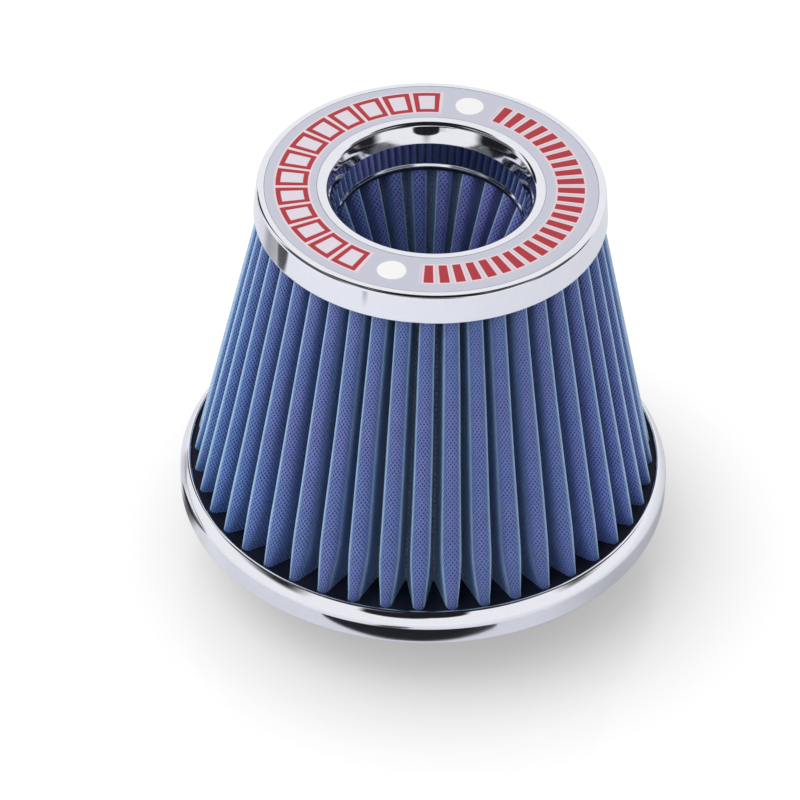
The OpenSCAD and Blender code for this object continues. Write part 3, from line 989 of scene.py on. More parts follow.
@dataclass
class PleatedPack:
    """One pleated pack: three layers, each a sheet of its own thickness. Its ends are radii of
    the crests with their heights, and side is 1 where the crests point outwards."""

    name: str
    count: int
    side: int
    low: Span
    high: Span
    depth: float
    turn: float = 0.0
    share: float = 0.62
    fold_round: float = 0.5
    thickness: float = 1.4
    spare: float = 0.2
    crest_arc: float = math.radians(80)
    fold_arc: float = math.radians(55)
    crest_steps: int = 13
    flank_steps: int = 6
    fold_steps: int = 5
    rows: int = 40
    seed: int = 7
    pinch_z: float = 0.0
    pinch_h: float = 16.0
    pinch: float = 0.0
    pinch_power: float = 1.6
    lean_size: float = 0.0032
    wave_size: float = 0.0016
    waves: float = 1.3
    wave_spread: float = 3.0
    fade_power: float = 0.5

    def sheet(self, name: str, d_out: float, d_in: float, rows: int) -> bpy.types.Object:
        """A sheet between the depths d_out and d_in below the dirty face, with closed ends.

        Args:
            name: the piece's name.
            d_out: depth of the dirty side, 0 or less.
            d_in: depth of the clean side.
            rows: steps along the pleats.

        Returns:
            The new piece, with a map in mm and an attribute depth from crest to fold.
        """
        t = np.linspace(0, 1, rows)
        outside, deep, length = self.surface(t, d_out)
        inside, _, _ = self.surface(t, d_in)
        if self.side < 0:
            outside, inside = inside, outside
        section = np.concatenate([outside, inside[::-1]])
        columns = outside.shape[1]
        up = t * math.dist(self.low, self.high)
        v = np.concatenate([up, up[::-1], up[:1]])
        return mesh_object(name, section.reshape(-1, 3), grid_faces(len(section), columns),
                           grid_uv(length, v), {"depth": np.tile(deep, len(section))})

    def flat(self, d: float) -> tuple[float, float, float]:
        """The size of the cloth before it is folded: the longest folded path, the slanted height,
        and their area with the mean of the paths.

        Args:
            d: how far the cloth lies outside the dirty face.

        Returns:
            Width and length in metres, and the area in square metres.
        """
        points, _, _ = self.surface(np.linspace(0, 1, self.rows), d)
        around = np.concatenate([points, points[:, :1]], 1)
        paths = np.linalg.norm(np.diff(around, axis=1), axis=2).sum(1) * MM
        length = math.dist(self.low, self.high) * MM
        return float(paths.max()), length, float(paths.mean()) * length

    def pleat(self, t: Array, d: float) -> Array:
        """One pleat seen along the axis. A crest is an arc round a point inside it, a fold is an
        arc half a pitch further on, and straight flanks join them. Crests get narrower where
        the lower end is pinched.

        Args:
            t: places along the pleats, from 0 at the lower end to 1 at the upper end.
            d: how far the face lies outside the dirty face.

        Returns:
            rows x columns x 2 points, with the crest on the X axis.
        """
        rc = (self.low[0] + (self.high[0] - self.low[0]) * t)[:, None]
        z = self.height(t)[:, None]
        near = np.clip(1 - (z - self.pinch_z) / self.pinch_h, 0, 1) ** self.pinch_power
        share = self.share * (1 - self.pinch * near)
        rounding = np.maximum(share * math.pi * rc / self.count, self.thickness + self.spare)
        a = np.linspace(-self.crest_arc, self.crest_arc, self.crest_steps)
        b = np.linspace(-self.fold_arc, self.fold_arc, self.fold_steps)
        half = math.pi / self.count
        crest_r = rc - self.side * rounding + self.side * (rounding + d) * np.cos(a)
        crest = np.stack([crest_r, (rounding + d) * np.sin(a)], -1)
        bottom = rc - self.side * (self.depth - self.fold_round)
        fold_r = bottom - self.side * (self.fold_round - d) * np.cos(b)
        fold_s = (self.fold_round - d) * np.sin(b) + 0 * rc
        fold = turned(np.stack([fold_r, fold_s], -1), half)
        steps = np.linspace(0, 1, self.flank_steps + 2)[1:-1, None]
        rise = crest[:, -1:] + (fold[:, :1] - crest[:, -1:]) * steps
        fall = fold[:, -1:] + (turned(crest, 2 * half)[:, :1] - fold[:, -1:]) * steps
        return np.concatenate([crest, rise, fold, fall], 1)

    def height(self, t: Array) -> Array:
        """The height of places along the pleats."""
        return self.low[1] + (self.high[1] - self.low[1]) * t

    def lean(self, t: Array) -> Array:
        """How far each crest is turned from its place: a part of its own, and a sine of the
        height with a start of its own. Both fade towards the potted ends.

        Args:
            t: places along the pleats.

        Returns:
            rows x pleats angles in radians.
        """
        rng = np.random.default_rng(self.seed)
        shift = rng.normal(0, 1, (2, self.count))
        fade = np.sin(math.pi * np.clip(t, 0, 1)) ** self.fade_power
        wave = np.sin(TURN * t[:, None] * self.waves + shift[1] * self.wave_spread)
        return (self.lean_size * shift[0] + self.wave_size * wave) * fade[:, None]

    def surface(self, t: Array, d: float) -> tuple[Array, Array, Array]:
        """Points of a pleated face: one pleat repeated round the axis, where its crest leans and
        its fold stays.

        Args:
            t: places along the pleats, from 0 at the lower end to 1 at the upper end.
            d: how far the face lies outside the dirty face.

        Returns:
            rows x columns x 3 points, the depth of each column from 0 to 1, and the length of
            the folded path up to each column and to its end.
        """
        path = self.pleat(t, d)
        half = math.pi / self.count
        radius = np.hypot(path[..., 0], path[..., 1])
        angle = np.arctan2(path[..., 1], path[..., 0])
        reach = (radius - radius.min(1, keepdims=True)) / np.ptp(radius, 1)[:, None]
        crestness = reach if self.side > 0 else 1 - reach
        centre = np.arange(self.count) * 2 * half - math.pi / 2 + self.turn
        turn = centre[None, :, None] + angle[:, None, :] + \
            self.lean(t)[:, :, None] * crestness[:, None, :]
        r = radius[:, None, :] + 0 * turn
        z = self.height(t)[:, None, None] + 0 * turn
        points = np.stack([r * np.cos(turn), r * np.sin(turn), z], -1)
        middle = path[len(t) // 2]
        loop = np.concatenate([middle, turned(middle[:1], 2 * half)])
        each = np.linalg.norm(np.diff(loop, axis=0), axis=1)
        length = np.concatenate([[0], np.cumsum(np.tile(each, self.count))])
        deep = np.tile(1 - crestness[len(t) // 2], self.count)
        return points.reshape(len(t), path.shape[1] * self.count, 3), deep, length


@dataclass
class Assembly:
    """What every sub-assembly shares: the sizes, the finishes and the way a piece is mounted."""

    sizes: Filter
    finishes: Finishes
    nodes: dict[str, bpy.types.Object]

    def mount(self, piece: bpy.types.Object, slot: Slot, *stands_for: str) -> bpy.types.Object:
        """Gives a piece its finish and its body, and hides the CAD nodes that it stands for.

        Args:
            piece: the new piece.
            slot: the record's slot that its finish comes from.
            stands_for: names of CAD nodes.

        Returns:
            The piece.
        """
        piece.data.materials.clear()
        piece.data.materials.append(self.finishes[slot])
        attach(piece, "root")
        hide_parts(*stands_for)
        log.info("%s: %d faces, stands for %s", piece.name, len(piece.data.polygons),
                 ", ".join(stands_for))
        return piece

    def dress_node(self, node: str, slot: Slot) -> bpy.types.Object:
        """Gives a CAD node its finish and leaves its mesh as it is.

        Args:
            node: the CAD node's name.
            slot: the record's slot that its finish comes from.

        Returns:
            The node's object.
        """
        piece = self.nodes[node]
        piece.data.materials.clear()
        piece.data.materials.append(self.finishes[slot])
        log.info("%s: CAD node dressed as %s", node, slot.value)
        return piece


@dataclass
class TopCap(Assembly):
    """Bright top ring with its rolled lip and collar, and the printed plate let into it."""

    flare: float = 0.9
    skirt_round: float = 0.5
    edge_round: float = 1.8
    mouth_r: float = 29.3
    mouth_round: float = 0.6
    lip_w: float = 4.9
    lip_round: float = 3.4
    lip_angle: float = math.radians(24)
    lip_bend: float = 0.14
    bend_round: float = 25.0
    taper: float = 0.2
    roll_w: float = 0.5
    roll_h: float = 1.2
    roll_share: float = 0.4
    roll_round: float = 0.5
    roll_edge: float = 0.3
    end_round: float = 0.15
    back_round: float = 0.8
    rim: float = 0.5
    rim_round: float = 0.1
    crease: float = 0.05
    plate_t: float = 0.4
    plate_gap: float = 0.06
    plate_round: float = 0.12
    columns: int = 320
    arc_steps: int = 10
    plate_steps: int = 3

    def build(self) -> None:
        """Makes the ring and the plate."""
        s = self.sizes
        top_r = s.skirt_r - self.flare
        lip_r = self.mouth_r + self.lip_w
        plate_in = lip_r + self.rim
        plate_out = s.plate_r
        plate_z = s.top_z - self.plate_t
        collar = self.mouth_r - self.taper
        roll_r = collar - self.roll_w
        inner_round = self.edge_round - s.wall
        sine, cosine = math.sin(self.lip_angle), math.cos(self.lip_angle)
        slope = (self.lip_w - self.lip_round * cosine) / math.tan(self.lip_angle)
        lip_z = s.top_z - self.lip_round * (1 - sine) - slope
        edge_r = lip_r - self.lip_round * math.tan(math.pi / 4 - self.lip_angle / 2)
        under = s.wall * math.tan(self.lip_angle / 2)
        bend_r = (edge_r + self.mouth_r) / 2 - self.lip_bend * cosine
        bend_z = (s.top_z + lip_z) / 2 - self.lip_bend * sine
        section = Section([
            Corner(s.skirt_r - s.wall, s.skirt_z, self.skirt_round),
            Corner(s.skirt_r, s.skirt_z, self.skirt_round),
            Corner(top_r, s.top_z, self.edge_round),
            Corner(plate_out, s.top_z, self.rim_round),
            Corner(plate_out, plate_z, self.crease),
            Corner(plate_in, plate_z, self.crease),
            Corner(plate_in, s.top_z, self.rim_round),
            Corner(edge_r, s.top_z, self.lip_round),
            Corner(bend_r, bend_z, self.bend_round),
            Corner(self.mouth_r, lip_z, self.mouth_round),
            Corner(collar, s.collar_z + self.roll_h, self.roll_round),
            Corner(roll_r, s.collar_z + self.roll_share * self.roll_h, self.roll_edge),
            Corner(roll_r, s.collar_z, self.end_round),
            Corner(collar + s.wall, s.collar_z, self.roll_edge),
            Corner(self.mouth_r + s.wall, lip_z - under, self.back_round),
            Corner(lip_r, s.top_z - s.wall, self.lip_round - s.wall),
            Corner(top_r - s.wall, s.top_z - s.wall, inner_round),
        ], self.arc_steps)
        self.mount(revolve("top_ring_shell", section, self.columns), Slot.BRIGHT, "top_ring")
        low_r, high_r = plate_in + self.plate_gap, plate_out - self.plate_gap
        plate = Section([
            Corner(low_r, plate_z, self.crease),
            Corner(high_r, plate_z, self.crease),
            Corner(high_r, s.top_z, self.plate_round),
            Corner(low_r, s.top_z, self.plate_round),
        ], self.plate_steps)
        self.mount(revolve("face_plate_print", plate, self.columns), Slot.PLATE, "face_plate")


@dataclass
class BaseCap(Assembly):
    """Bright base ring, the urethane inside it and the rubber neck with its flange. The ring's
    shoulder bulges a little in the middle, by its crown, as pressed sheet does."""

    lip_flat: float = 1.0
    lip_edge: float = 0.5
    shoulder_h: float = 4.0
    shoulder_low: float = 4.0
    shoulder_top: float = 1.2
    foot: float = 3.0
    foot_round: float = 2.6
    crown: float = 0.2
    crown_round: float = 14.0
    cut_round: float = 0.4
    under_round: float = 0.3
    inside_round: float = 0.6
    potting_r: float = 56.8
    potting_round: float = 0.8
    crease: float = 0.1
    bead: float = 1.0
    bead_w: float = 3.0
    bead_root: float = 0.5
    neck_round: float = 3.0
    rubber_round: float = 0.6
    rim_round: float = 0.8
    ring_columns: int = 384
    arc_steps: int = 10

    def build(self) -> None:
        """Makes the ring, the urethane and the neck."""
        s = self.sizes
        shoulder = s.lip - self.lip_flat
        lean = math.atan2(shoulder, self.shoulder_h)
        low_z = s.ring_top_z - self.shoulder_h
        under_z = s.ring_top_z - s.wall
        over = s.wall * math.tan(math.pi / 4 - lean / 2)
        inside = Corner(s.ring_r - s.wall, low_z - s.wall * math.tan(lean / 2),
                        self.inside_round)
        crown = Corner(s.ring_r - shoulder / 2 + self.crown * math.cos(lean),
                       s.ring_top_z - self.shoulder_h / 2 + self.crown * math.sin(lean),
                       self.crown_round)
        ring = Section([
            Corner(s.ring_r - self.foot, s.ring_z, self.cut_round),
            Corner(s.ring_r, s.ring_z, self.foot_round),
            Corner(s.ring_r, low_z, self.shoulder_low),
            crown,
            Corner(s.ring_r - shoulder, s.ring_top_z, self.shoulder_top),
            Corner(s.ring_r - s.lip, s.ring_top_z, self.lip_edge),
            Corner(s.ring_r - s.lip, under_z, self.cut_round),
            Corner(s.ring_r - shoulder - over, under_z, self.under_round),
            inside,
            Corner(s.ring_r - s.wall, s.flange_z, self.foot_round - s.wall),
            Corner(s.ring_r - self.foot, s.flange_z, self.cut_round),
        ], self.arc_steps)
        self.mount(revolve("base_ring_shell", ring, self.ring_columns), Slot.BRIGHT, "base_ring")
        urethane = Section([
            Corner(self.potting_r, s.flange_top_z, self.crease),
            Corner(s.ring_r - s.wall, s.flange_top_z, self.crease),
            inside,
            Corner(s.ring_r - shoulder - over, under_z, self.under_round),
            Corner(self.potting_r, under_z, self.potting_round),
        ])
        self.mount(revolve("base_urethane", urethane), Slot.URETHANE, "base_potting")
        rim_r = s.bore_r + s.neck_wall / 2
        bead_r = s.neck_r + self.bead
        neck = Section([
            Corner(s.bore_r, 0.0, self.rubber_round),
            Corner(s.neck_r, 0.0, self.rubber_round),
            Corner(bead_r, self.bead, self.rubber_round),
            Corner(bead_r, self.bead + self.bead_w, self.rubber_round),
            Corner(s.neck_r, 2 * self.bead + self.bead_w, self.bead_root),
            Corner(s.neck_r, s.flange_z, self.neck_round),
            Corner(s.ring_r - s.wall, s.flange_z, self.rubber_round),
            Corner(s.ring_r - s.wall, s.flange_top_z, self.crease),
            Corner(rim_r, s.flange_top_z, self.rubber_round),
            Corner(rim_r, s.rim_z, self.rim_round),
            Corner(s.bore_r, s.rim_z, self.rim_round),
        ])
        self.mount(revolve("rubber_neck", neck), Slot.RUBBER, "neck_flange")


@dataclass
class Packs(Assembly):
    """Outer and inner pleated packs, and the urethane and seam clips between them."""

    screen_t: float = 0.3
    media_t: float = 0.8
    outer_count: int = 44
    outer_depth: float = 13.0
    skirt_gap: float = 0.4
    lip_gap: float = 1.0
    pinch: float = 0.45
    inner_count: int = 24
    inner_depth: float = 7.0
    inner_top_r: float = 29.0
    inner_end_r: float = 16.0
    inner_h: float = 36.0
    inner_seed: int = 11
    bead_h: float = 1.0
    screen_rows: int = 40
    layer_rows: int = 24

    def build(self) -> None:
        """Makes the three layers of both packs, and dresses what lies between them."""
        for pack in (self.outer(), self.inner()):
            self.layers(pack)
        for node in ("top_potting", "inner_plug"):
            self.dress_node(node, Slot.URETHANE)
        for node in ("outer_seam_clip", "inner_seam_clip"):
            self.dress_node(node, Slot.CLIP)

    def outer(self) -> PleatedPack:
        """The outer pack. Its crests pass inside the skirt and the base ring's lip with a gap.

        Returns:
            The pack.
        """
        s = self.sizes
        top_r = s.skirt_r - s.wall - self.skirt_gap
        base_r = s.ring_r - s.lip - self.lip_gap
        slope = (base_r - top_r) / (s.skirt_z - s.ring_top_z)
        span = s.pack_z[1] - s.pack_z[0]
        return PleatedPack("outer", self.outer_count, 1, (s.pack_r, s.pack_z[0]),
                           (s.pack_r - slope * span, s.pack_z[1]), self.outer_depth,
                           pinch_z=s.ring_top_z, pinch=self.pinch)

    def inner(self) -> PleatedPack:
        """The inner pack. Its crests point to the axis and narrow downwards from the collar.

        Returns:
            The pack.
        """
        s = self.sizes
        slope = (self.inner_top_r - self.inner_end_r) / self.inner_h
        bead_z = s.collar_z - self.bead_h
        ends = [(self.inner_top_r - slope * (bead_z - z), z) for z in s.inner_z]
        return PleatedPack("inner", self.inner_count, -1, ends[0], ends[1], self.inner_depth,
                           turn=math.pi / self.inner_count, seed=self.inner_seed)

    def layers(self, pack: PleatedPack) -> None:
        """Makes a pack's wire screen, its cotton as a folded sheet whose flat cut is logged,
        and its backing.

        Args:
            pack: the pack.
        """
        media = self.screen_t + self.media_t
        screen = pack.sheet(f"{pack.name}_wire_screen", 0.0, -self.screen_t, self.screen_rows)
        self.mount(screen, Slot.SCREEN, f"{pack.name}_screen")
        gauze = pack.sheet(f"{pack.name}_gauze", -self.screen_t, -media, self.layer_rows)
        self.mount(gauze, Slot.COTTON, f"{pack.name}_media")
        width, length, area = pack.flat(-self.screen_t - self.media_t / 2)
        log.info("%s: cut %.3f x %.3f m, %.4f m2", gauze.name, width, length, area)
        backing = pack.sheet(f"{pack.name}_backing", -media, -media - self.screen_t,
                             self.layer_rows)
        self.mount(backing, Slot.BACKING, f"{pack.name}_backing_screen")


@dataclass
class HoseClamp(Assembly):
    """Band, housing and screw of the worm-drive hose clamp at the back of the neck."""

    band_z: float = 6.0
    band_w: float = 12.7
    band_t: float = 0.7
    tail_first: float = math.radians(75)
    tail_sweep: float = math.radians(110)
    tail_cut: float = 0.5
    tail_share: float = 0.25
    slots: int = 18
    slot_w: float = 1.3
    slot_share: float = 0.6
    slot_lean: float = math.radians(8)
    slot_deep: float = 0.6
    edge: float = 0.12
    worm_r: float = 3.6
    worm_gap: float = 0.2
    thread_deep: float = 0.75
    thread_span: Span = (0.3, 0.7)
    thread_run: float = 1.0
    housing_l: float = 15.0
    housing_wall: float = 0.9
    foot_bend: float = 0.6
    arch_bend: float = 0.7
    bend_steps: int = 12
    straight: float = 0.01
    curve_gap: float = 0.5
    end_parts: int = 12
    washer_t: float = 0.8
    washer_round: float = 0.15
    head_flats: float = 7.0
    head_l: float = 4.5
    screw_slot_w: float = 1.1
    screw_slot_d: float = 1.4
    screw_slot_edge: Span = (-0.08, 0.04)
    chamfer: float = 0.5
    band_columns: int = 1440
    band_rows: int = 72
    arch_columns: int = 25
    turn_columns: int = 192
    worm_rows: int = 121
    head_rows: int = 9
    end_rows: int = 41

    def build(self) -> None:
        """Makes the clamp's three pieces."""
        self.mount(self.band(), Slot.CLAMP, "clamp_band")
        self.mount(self.housing(), Slot.CLAMP, "clamp_housing")
        self.mount(self.screw(), Slot.SCREW, "clamp_screw")

    @property
    def tail_r(self) -> float:
        """The outer radius of the band where its tail laps it."""
        return self.sizes.neck_r + 2 * self.band_t

    @property
    def slot_step(self) -> float:
        """The angle from one slot of the tail to the next."""
        return self.tail_sweep / (self.slots + 1)

    def band(self) -> bpy.types.Object:
        """The band is a ring whose outer radius grows by its thickness where the tail laps it.
        Leaning slots sink into the tail at even angles.

        Returns:
            The band's mesh.
        """
        neck_r = self.sizes.neck_r
        angle = np.arange(self.band_columns) / self.band_columns * TURN
        height = self.band_w * np.linspace(0, 1, self.band_rows)[:, None]
        from_start = (angle - self.tail_first) * self.tail_r
        from_end = (self.tail_first + self.tail_sweep - angle) * self.tail_r
        along = height - self.band_w / 2
        corner = np.abs(along) - self.band_w / 2
        cut = self.tail_cut * (corner + self.band_w * self.tail_share).clip(0)
        tail = smooth(from_start, 0, self.edge) * smooth(from_end - cut, 0, self.edge)
        number = np.clip(np.round((angle - self.tail_first) / self.slot_step), 1, self.slots)
        across = (angle - self.tail_first - number * self.slot_step) * self.tail_r
        leaned = across - math.tan(self.slot_lean) * along
        off = np.maximum(np.abs(leaned) - self.slot_w / 2,
                         np.abs(along) - self.band_w * self.slot_share / 2)
        sunk = 1 - smooth(off, -self.edge, self.edge)
        rim = self.edge * (1 - np.sqrt(1 - np.clip(1 + corner / self.edge, 0, 1) ** 2))
        outer = neck_r + self.band_t * (1 + tail) - self.slot_deep * sunk * tail - rim
        inner = np.full((2, self.band_columns), neck_r)
        radius = np.concatenate([outer, inner])
        level = self.band_z + np.concatenate([height[:, 0], [self.band_w, 0]])
        z = np.repeat(level[:, None], self.band_columns, 1)
        points = np.stack([radius * np.cos(angle), radius * np.sin(angle), z], -1)
        faces = grid_faces(len(level), self.band_columns)
        return mesh_object("clamp_strip", points.reshape(-1, 3), faces)

    def housing(self) -> bpy.types.Object:
        """A strip bent into an arch over the worm, with two feet folded round the band's edges.
        It is drawn across the axis, offset by half its wall to both sides, and swept along the
        screw. The lower part follows the band's curve, and the arch stays straight.

        Returns:
            The housing's mesh.
        """
        half = self.housing_wall / 2
        room = self.worm_r + self.worm_gap + half
        middle = self.band_z + self.band_w / 2
        reach = self.band_w / 2 + half
        plate_y = self.tail_r + half
        top_y = self.tail_r + self.worm_r + self.worm_gap + room
        foot_y = self.sizes.neck_r + self.band_t
        arch_round = room - self.straight
        path = rounded_path([
            (foot_y, middle - reach, 0.0),
            (plate_y, middle - reach, self.foot_bend),
            (plate_y, middle - room, self.arch_bend),
            (top_y, middle - room, arch_round),
            (top_y, middle + room, arch_round),
            (plate_y, middle + room, self.arch_bend),
            (plate_y, middle + reach, self.foot_bend),
            (foot_y, middle + reach, 0.0),
        ], self.bend_steps)
        along = np.gradient(path, axis=0)
        along /= np.linalg.norm(along, axis=1, keepdims=True)
        normal = np.stack([along[:, 1], -along[:, 0]], -1)
        section = np.concatenate([path + half * normal, (path - half * normal)[::-1]])
        columns = self.arch_columns
        x = np.linspace(-1, 1, columns)
        end = np.clip(np.abs(x) * self.end_parts - (self.end_parts - 1), 0, 1)
        ease = self.edge * (1 - np.sqrt(1 - end ** 2))
        x = x * self.housing_l / 2
        centre = np.concatenate([path, path[::-1]])
        inset = 1 - ease / half
        y = centre[:, :1] + (section - centre)[:, :1] * inset
        z = centre[:, 1:] + (section - centre)[:, 1:] * inset
        low = 1 - smooth(y, plate_y + self.curve_gap, top_y - room)
        y = y + low * (np.sqrt(self.tail_r ** 2 - x ** 2) - self.tail_r)
        points = np.stack([np.broadcast_to(x, y.shape), y, z], -1).reshape(-1, 3)
        sides = grid_faces(len(section), columns, open_columns=1)
        n = np.arange(len(path) - 1)
        other = len(section) - 1 - n
        first = np.stack([n, n + 1, other - 1, other], -1) * columns
        last = first[:, ::-1] + columns - 1
        return mesh_object("clamp_arch", points, np.concatenate([sides, first, last]))

    def screw(self) -> bpy.types.Object:
        """The worm, its washer and a slotted hexagon head, as one skin round the screw's axis.

        Returns:
            The screw's mesh.
        """
        angle = np.arange(self.turn_columns) / self.turn_columns * TURN
        parts = [self.worm(angle), self.washer(angle), *self.head(angle)]
        x = np.concatenate([part[0] for part in parts])
        r = np.concatenate([part[1] for part in parts])
        centre_y = self.tail_r + self.worm_r + self.worm_gap
        centre_z = self.band_z + self.band_w / 2
        ring = np.stack([x, centre_y + r * np.cos(angle), centre_z + r * np.sin(angle)], -1)
        top_x = self.housing_l / 2 + self.washer_t + self.head_l
        ends = np.array([[-self.housing_l / 2, centre_y, centre_z],
                         [top_x - self.screw_slot_d, centre_y, centre_z]])
        rows, columns = x.shape
        quads = grid_faces(rows, columns, open_rows=1)
        body = np.concatenate([quads[:, [0, 3, 2]], quads[:, [0, 2, 1]]])
        j = np.arange(columns)
        l = (j + 1) % columns
        pole = np.full(columns, rows * columns)
        near = np.stack([pole, j, l], -1)
        far = np.stack([pole + 1, (rows - 1) * columns + l, (rows - 1) * columns + j], -1)
        faces = np.concatenate([body, near, far])[:, ::-1]
        return mesh_object("clamp_worm", np.concatenate([ring.reshape(-1, 3), ends]), faces)

    def worm(self, angle: Array) -> tuple[Array, Array]:
        """The worm's radius follows a cosine of the place along the axis less the angle, which
        winds it into a thread.

        Args:
            angle: the angles round the axis.

        Returns:
            Places along the axis and radii.
        """
        pitch = self.tail_r * self.slot_step
        start, end = -self.housing_l / 2, self.housing_l / 2
        x = np.linspace(start, end, self.worm_rows)[:, None]
        wave = 0.5 + 0.5 * np.cos(TURN * x / pitch - angle)
        fade = smooth(x, start, start + self.thread_run) * \
            (1 - smooth(x, end - self.thread_run, end))
        r = self.worm_r - self.thread_deep * (1 - smooth(wave, *self.thread_span) * fade)
        return x + 0 * angle, r

    def washer(self, angle: Array) -> tuple[Array, Array]:
        """The washer is a round disc with eased edges.

        Args:
            angle: the angles round the axis.

        Returns:
            Places along the axis and radii.
        """
        ease = self.washer_round
        washer_r = self.worm_r + self.worm_gap + self.housing_wall / 2
        x = np.array([0, 0, ease, self.washer_t - ease, self.washer_t])[:, None]
        r = np.array([self.worm_r, washer_r - ease, washer_r, washer_r, washer_r - ease])
        return x + self.housing_l / 2 + 0 * angle, r[:, None] + 0 * angle

    def head(self, angle: Array) -> tuple[tuple[Array, Array], tuple[Array, Array]]:
        """The head's radius is that of a hexagon, and its end sinks where the slot crosses it.

        Args:
            angle: the angles round the axis.

        Returns:
            Places along the axis and radii, for the flanks and for the end.
        """
        start = self.housing_l / 2 + self.washer_t
        top_x = start + self.head_l
        sixth = math.pi / 3
        flat_r = self.head_flats / 2
        hexagon = flat_r / np.cos((angle + sixth / 2) % sixth - sixth / 2)
        side_x = start + np.linspace(0, self.head_l - self.chamfer, self.head_rows)[:, None]
        share = np.linspace(1, 0, self.end_rows)[:-1, None]
        end_r = (flat_r - self.washer_round) * share + 0 * angle
        near, far = (self.screw_slot_w / 2 + ease for ease in self.screw_slot_edge)
        slotted = 1 - smooth(np.abs(end_r * np.sin(angle)), near, far)
        groove = 1 - smooth(np.abs(hexagon * np.sin(angle)), near, far)
        flank = np.minimum(side_x, top_x - self.screw_slot_d * groove)
        return (flank, hexagon + 0 * side_x), (top_x - self.screw_slot_d * slotted, end_r)


@dataclass(frozen=True)
class Spot:
    """A dark place painted on the floor, seen only in reflections, where the bright rings mirror
    painted shade: where it is, its half-widths in metres, how dark it is and the share of its
    width where the darkness is full."""

    x: float
    y: float
    half_x: float
    half_y: float
    strength: float = 1.0
    full: float = 0.75


@dataclass(frozen=True)
class Card:
    """A dark card out of view: degrees round from the front towards the right, degrees up and
    distance in mm from the filter's middle, its half-width and half-height in degrees, how dark
    it is, the share of its width where the darkness is full, the power that shapes it (2 is an
    oval, more is squarer), and whether it also holds light back."""

    name: str
    round: float
    up: float
    far: float
    half_wide: float
    half_high: float
    strength: float = 1.0
    full: float = 0.8
    power: float = 2.0
    shades: bool = False


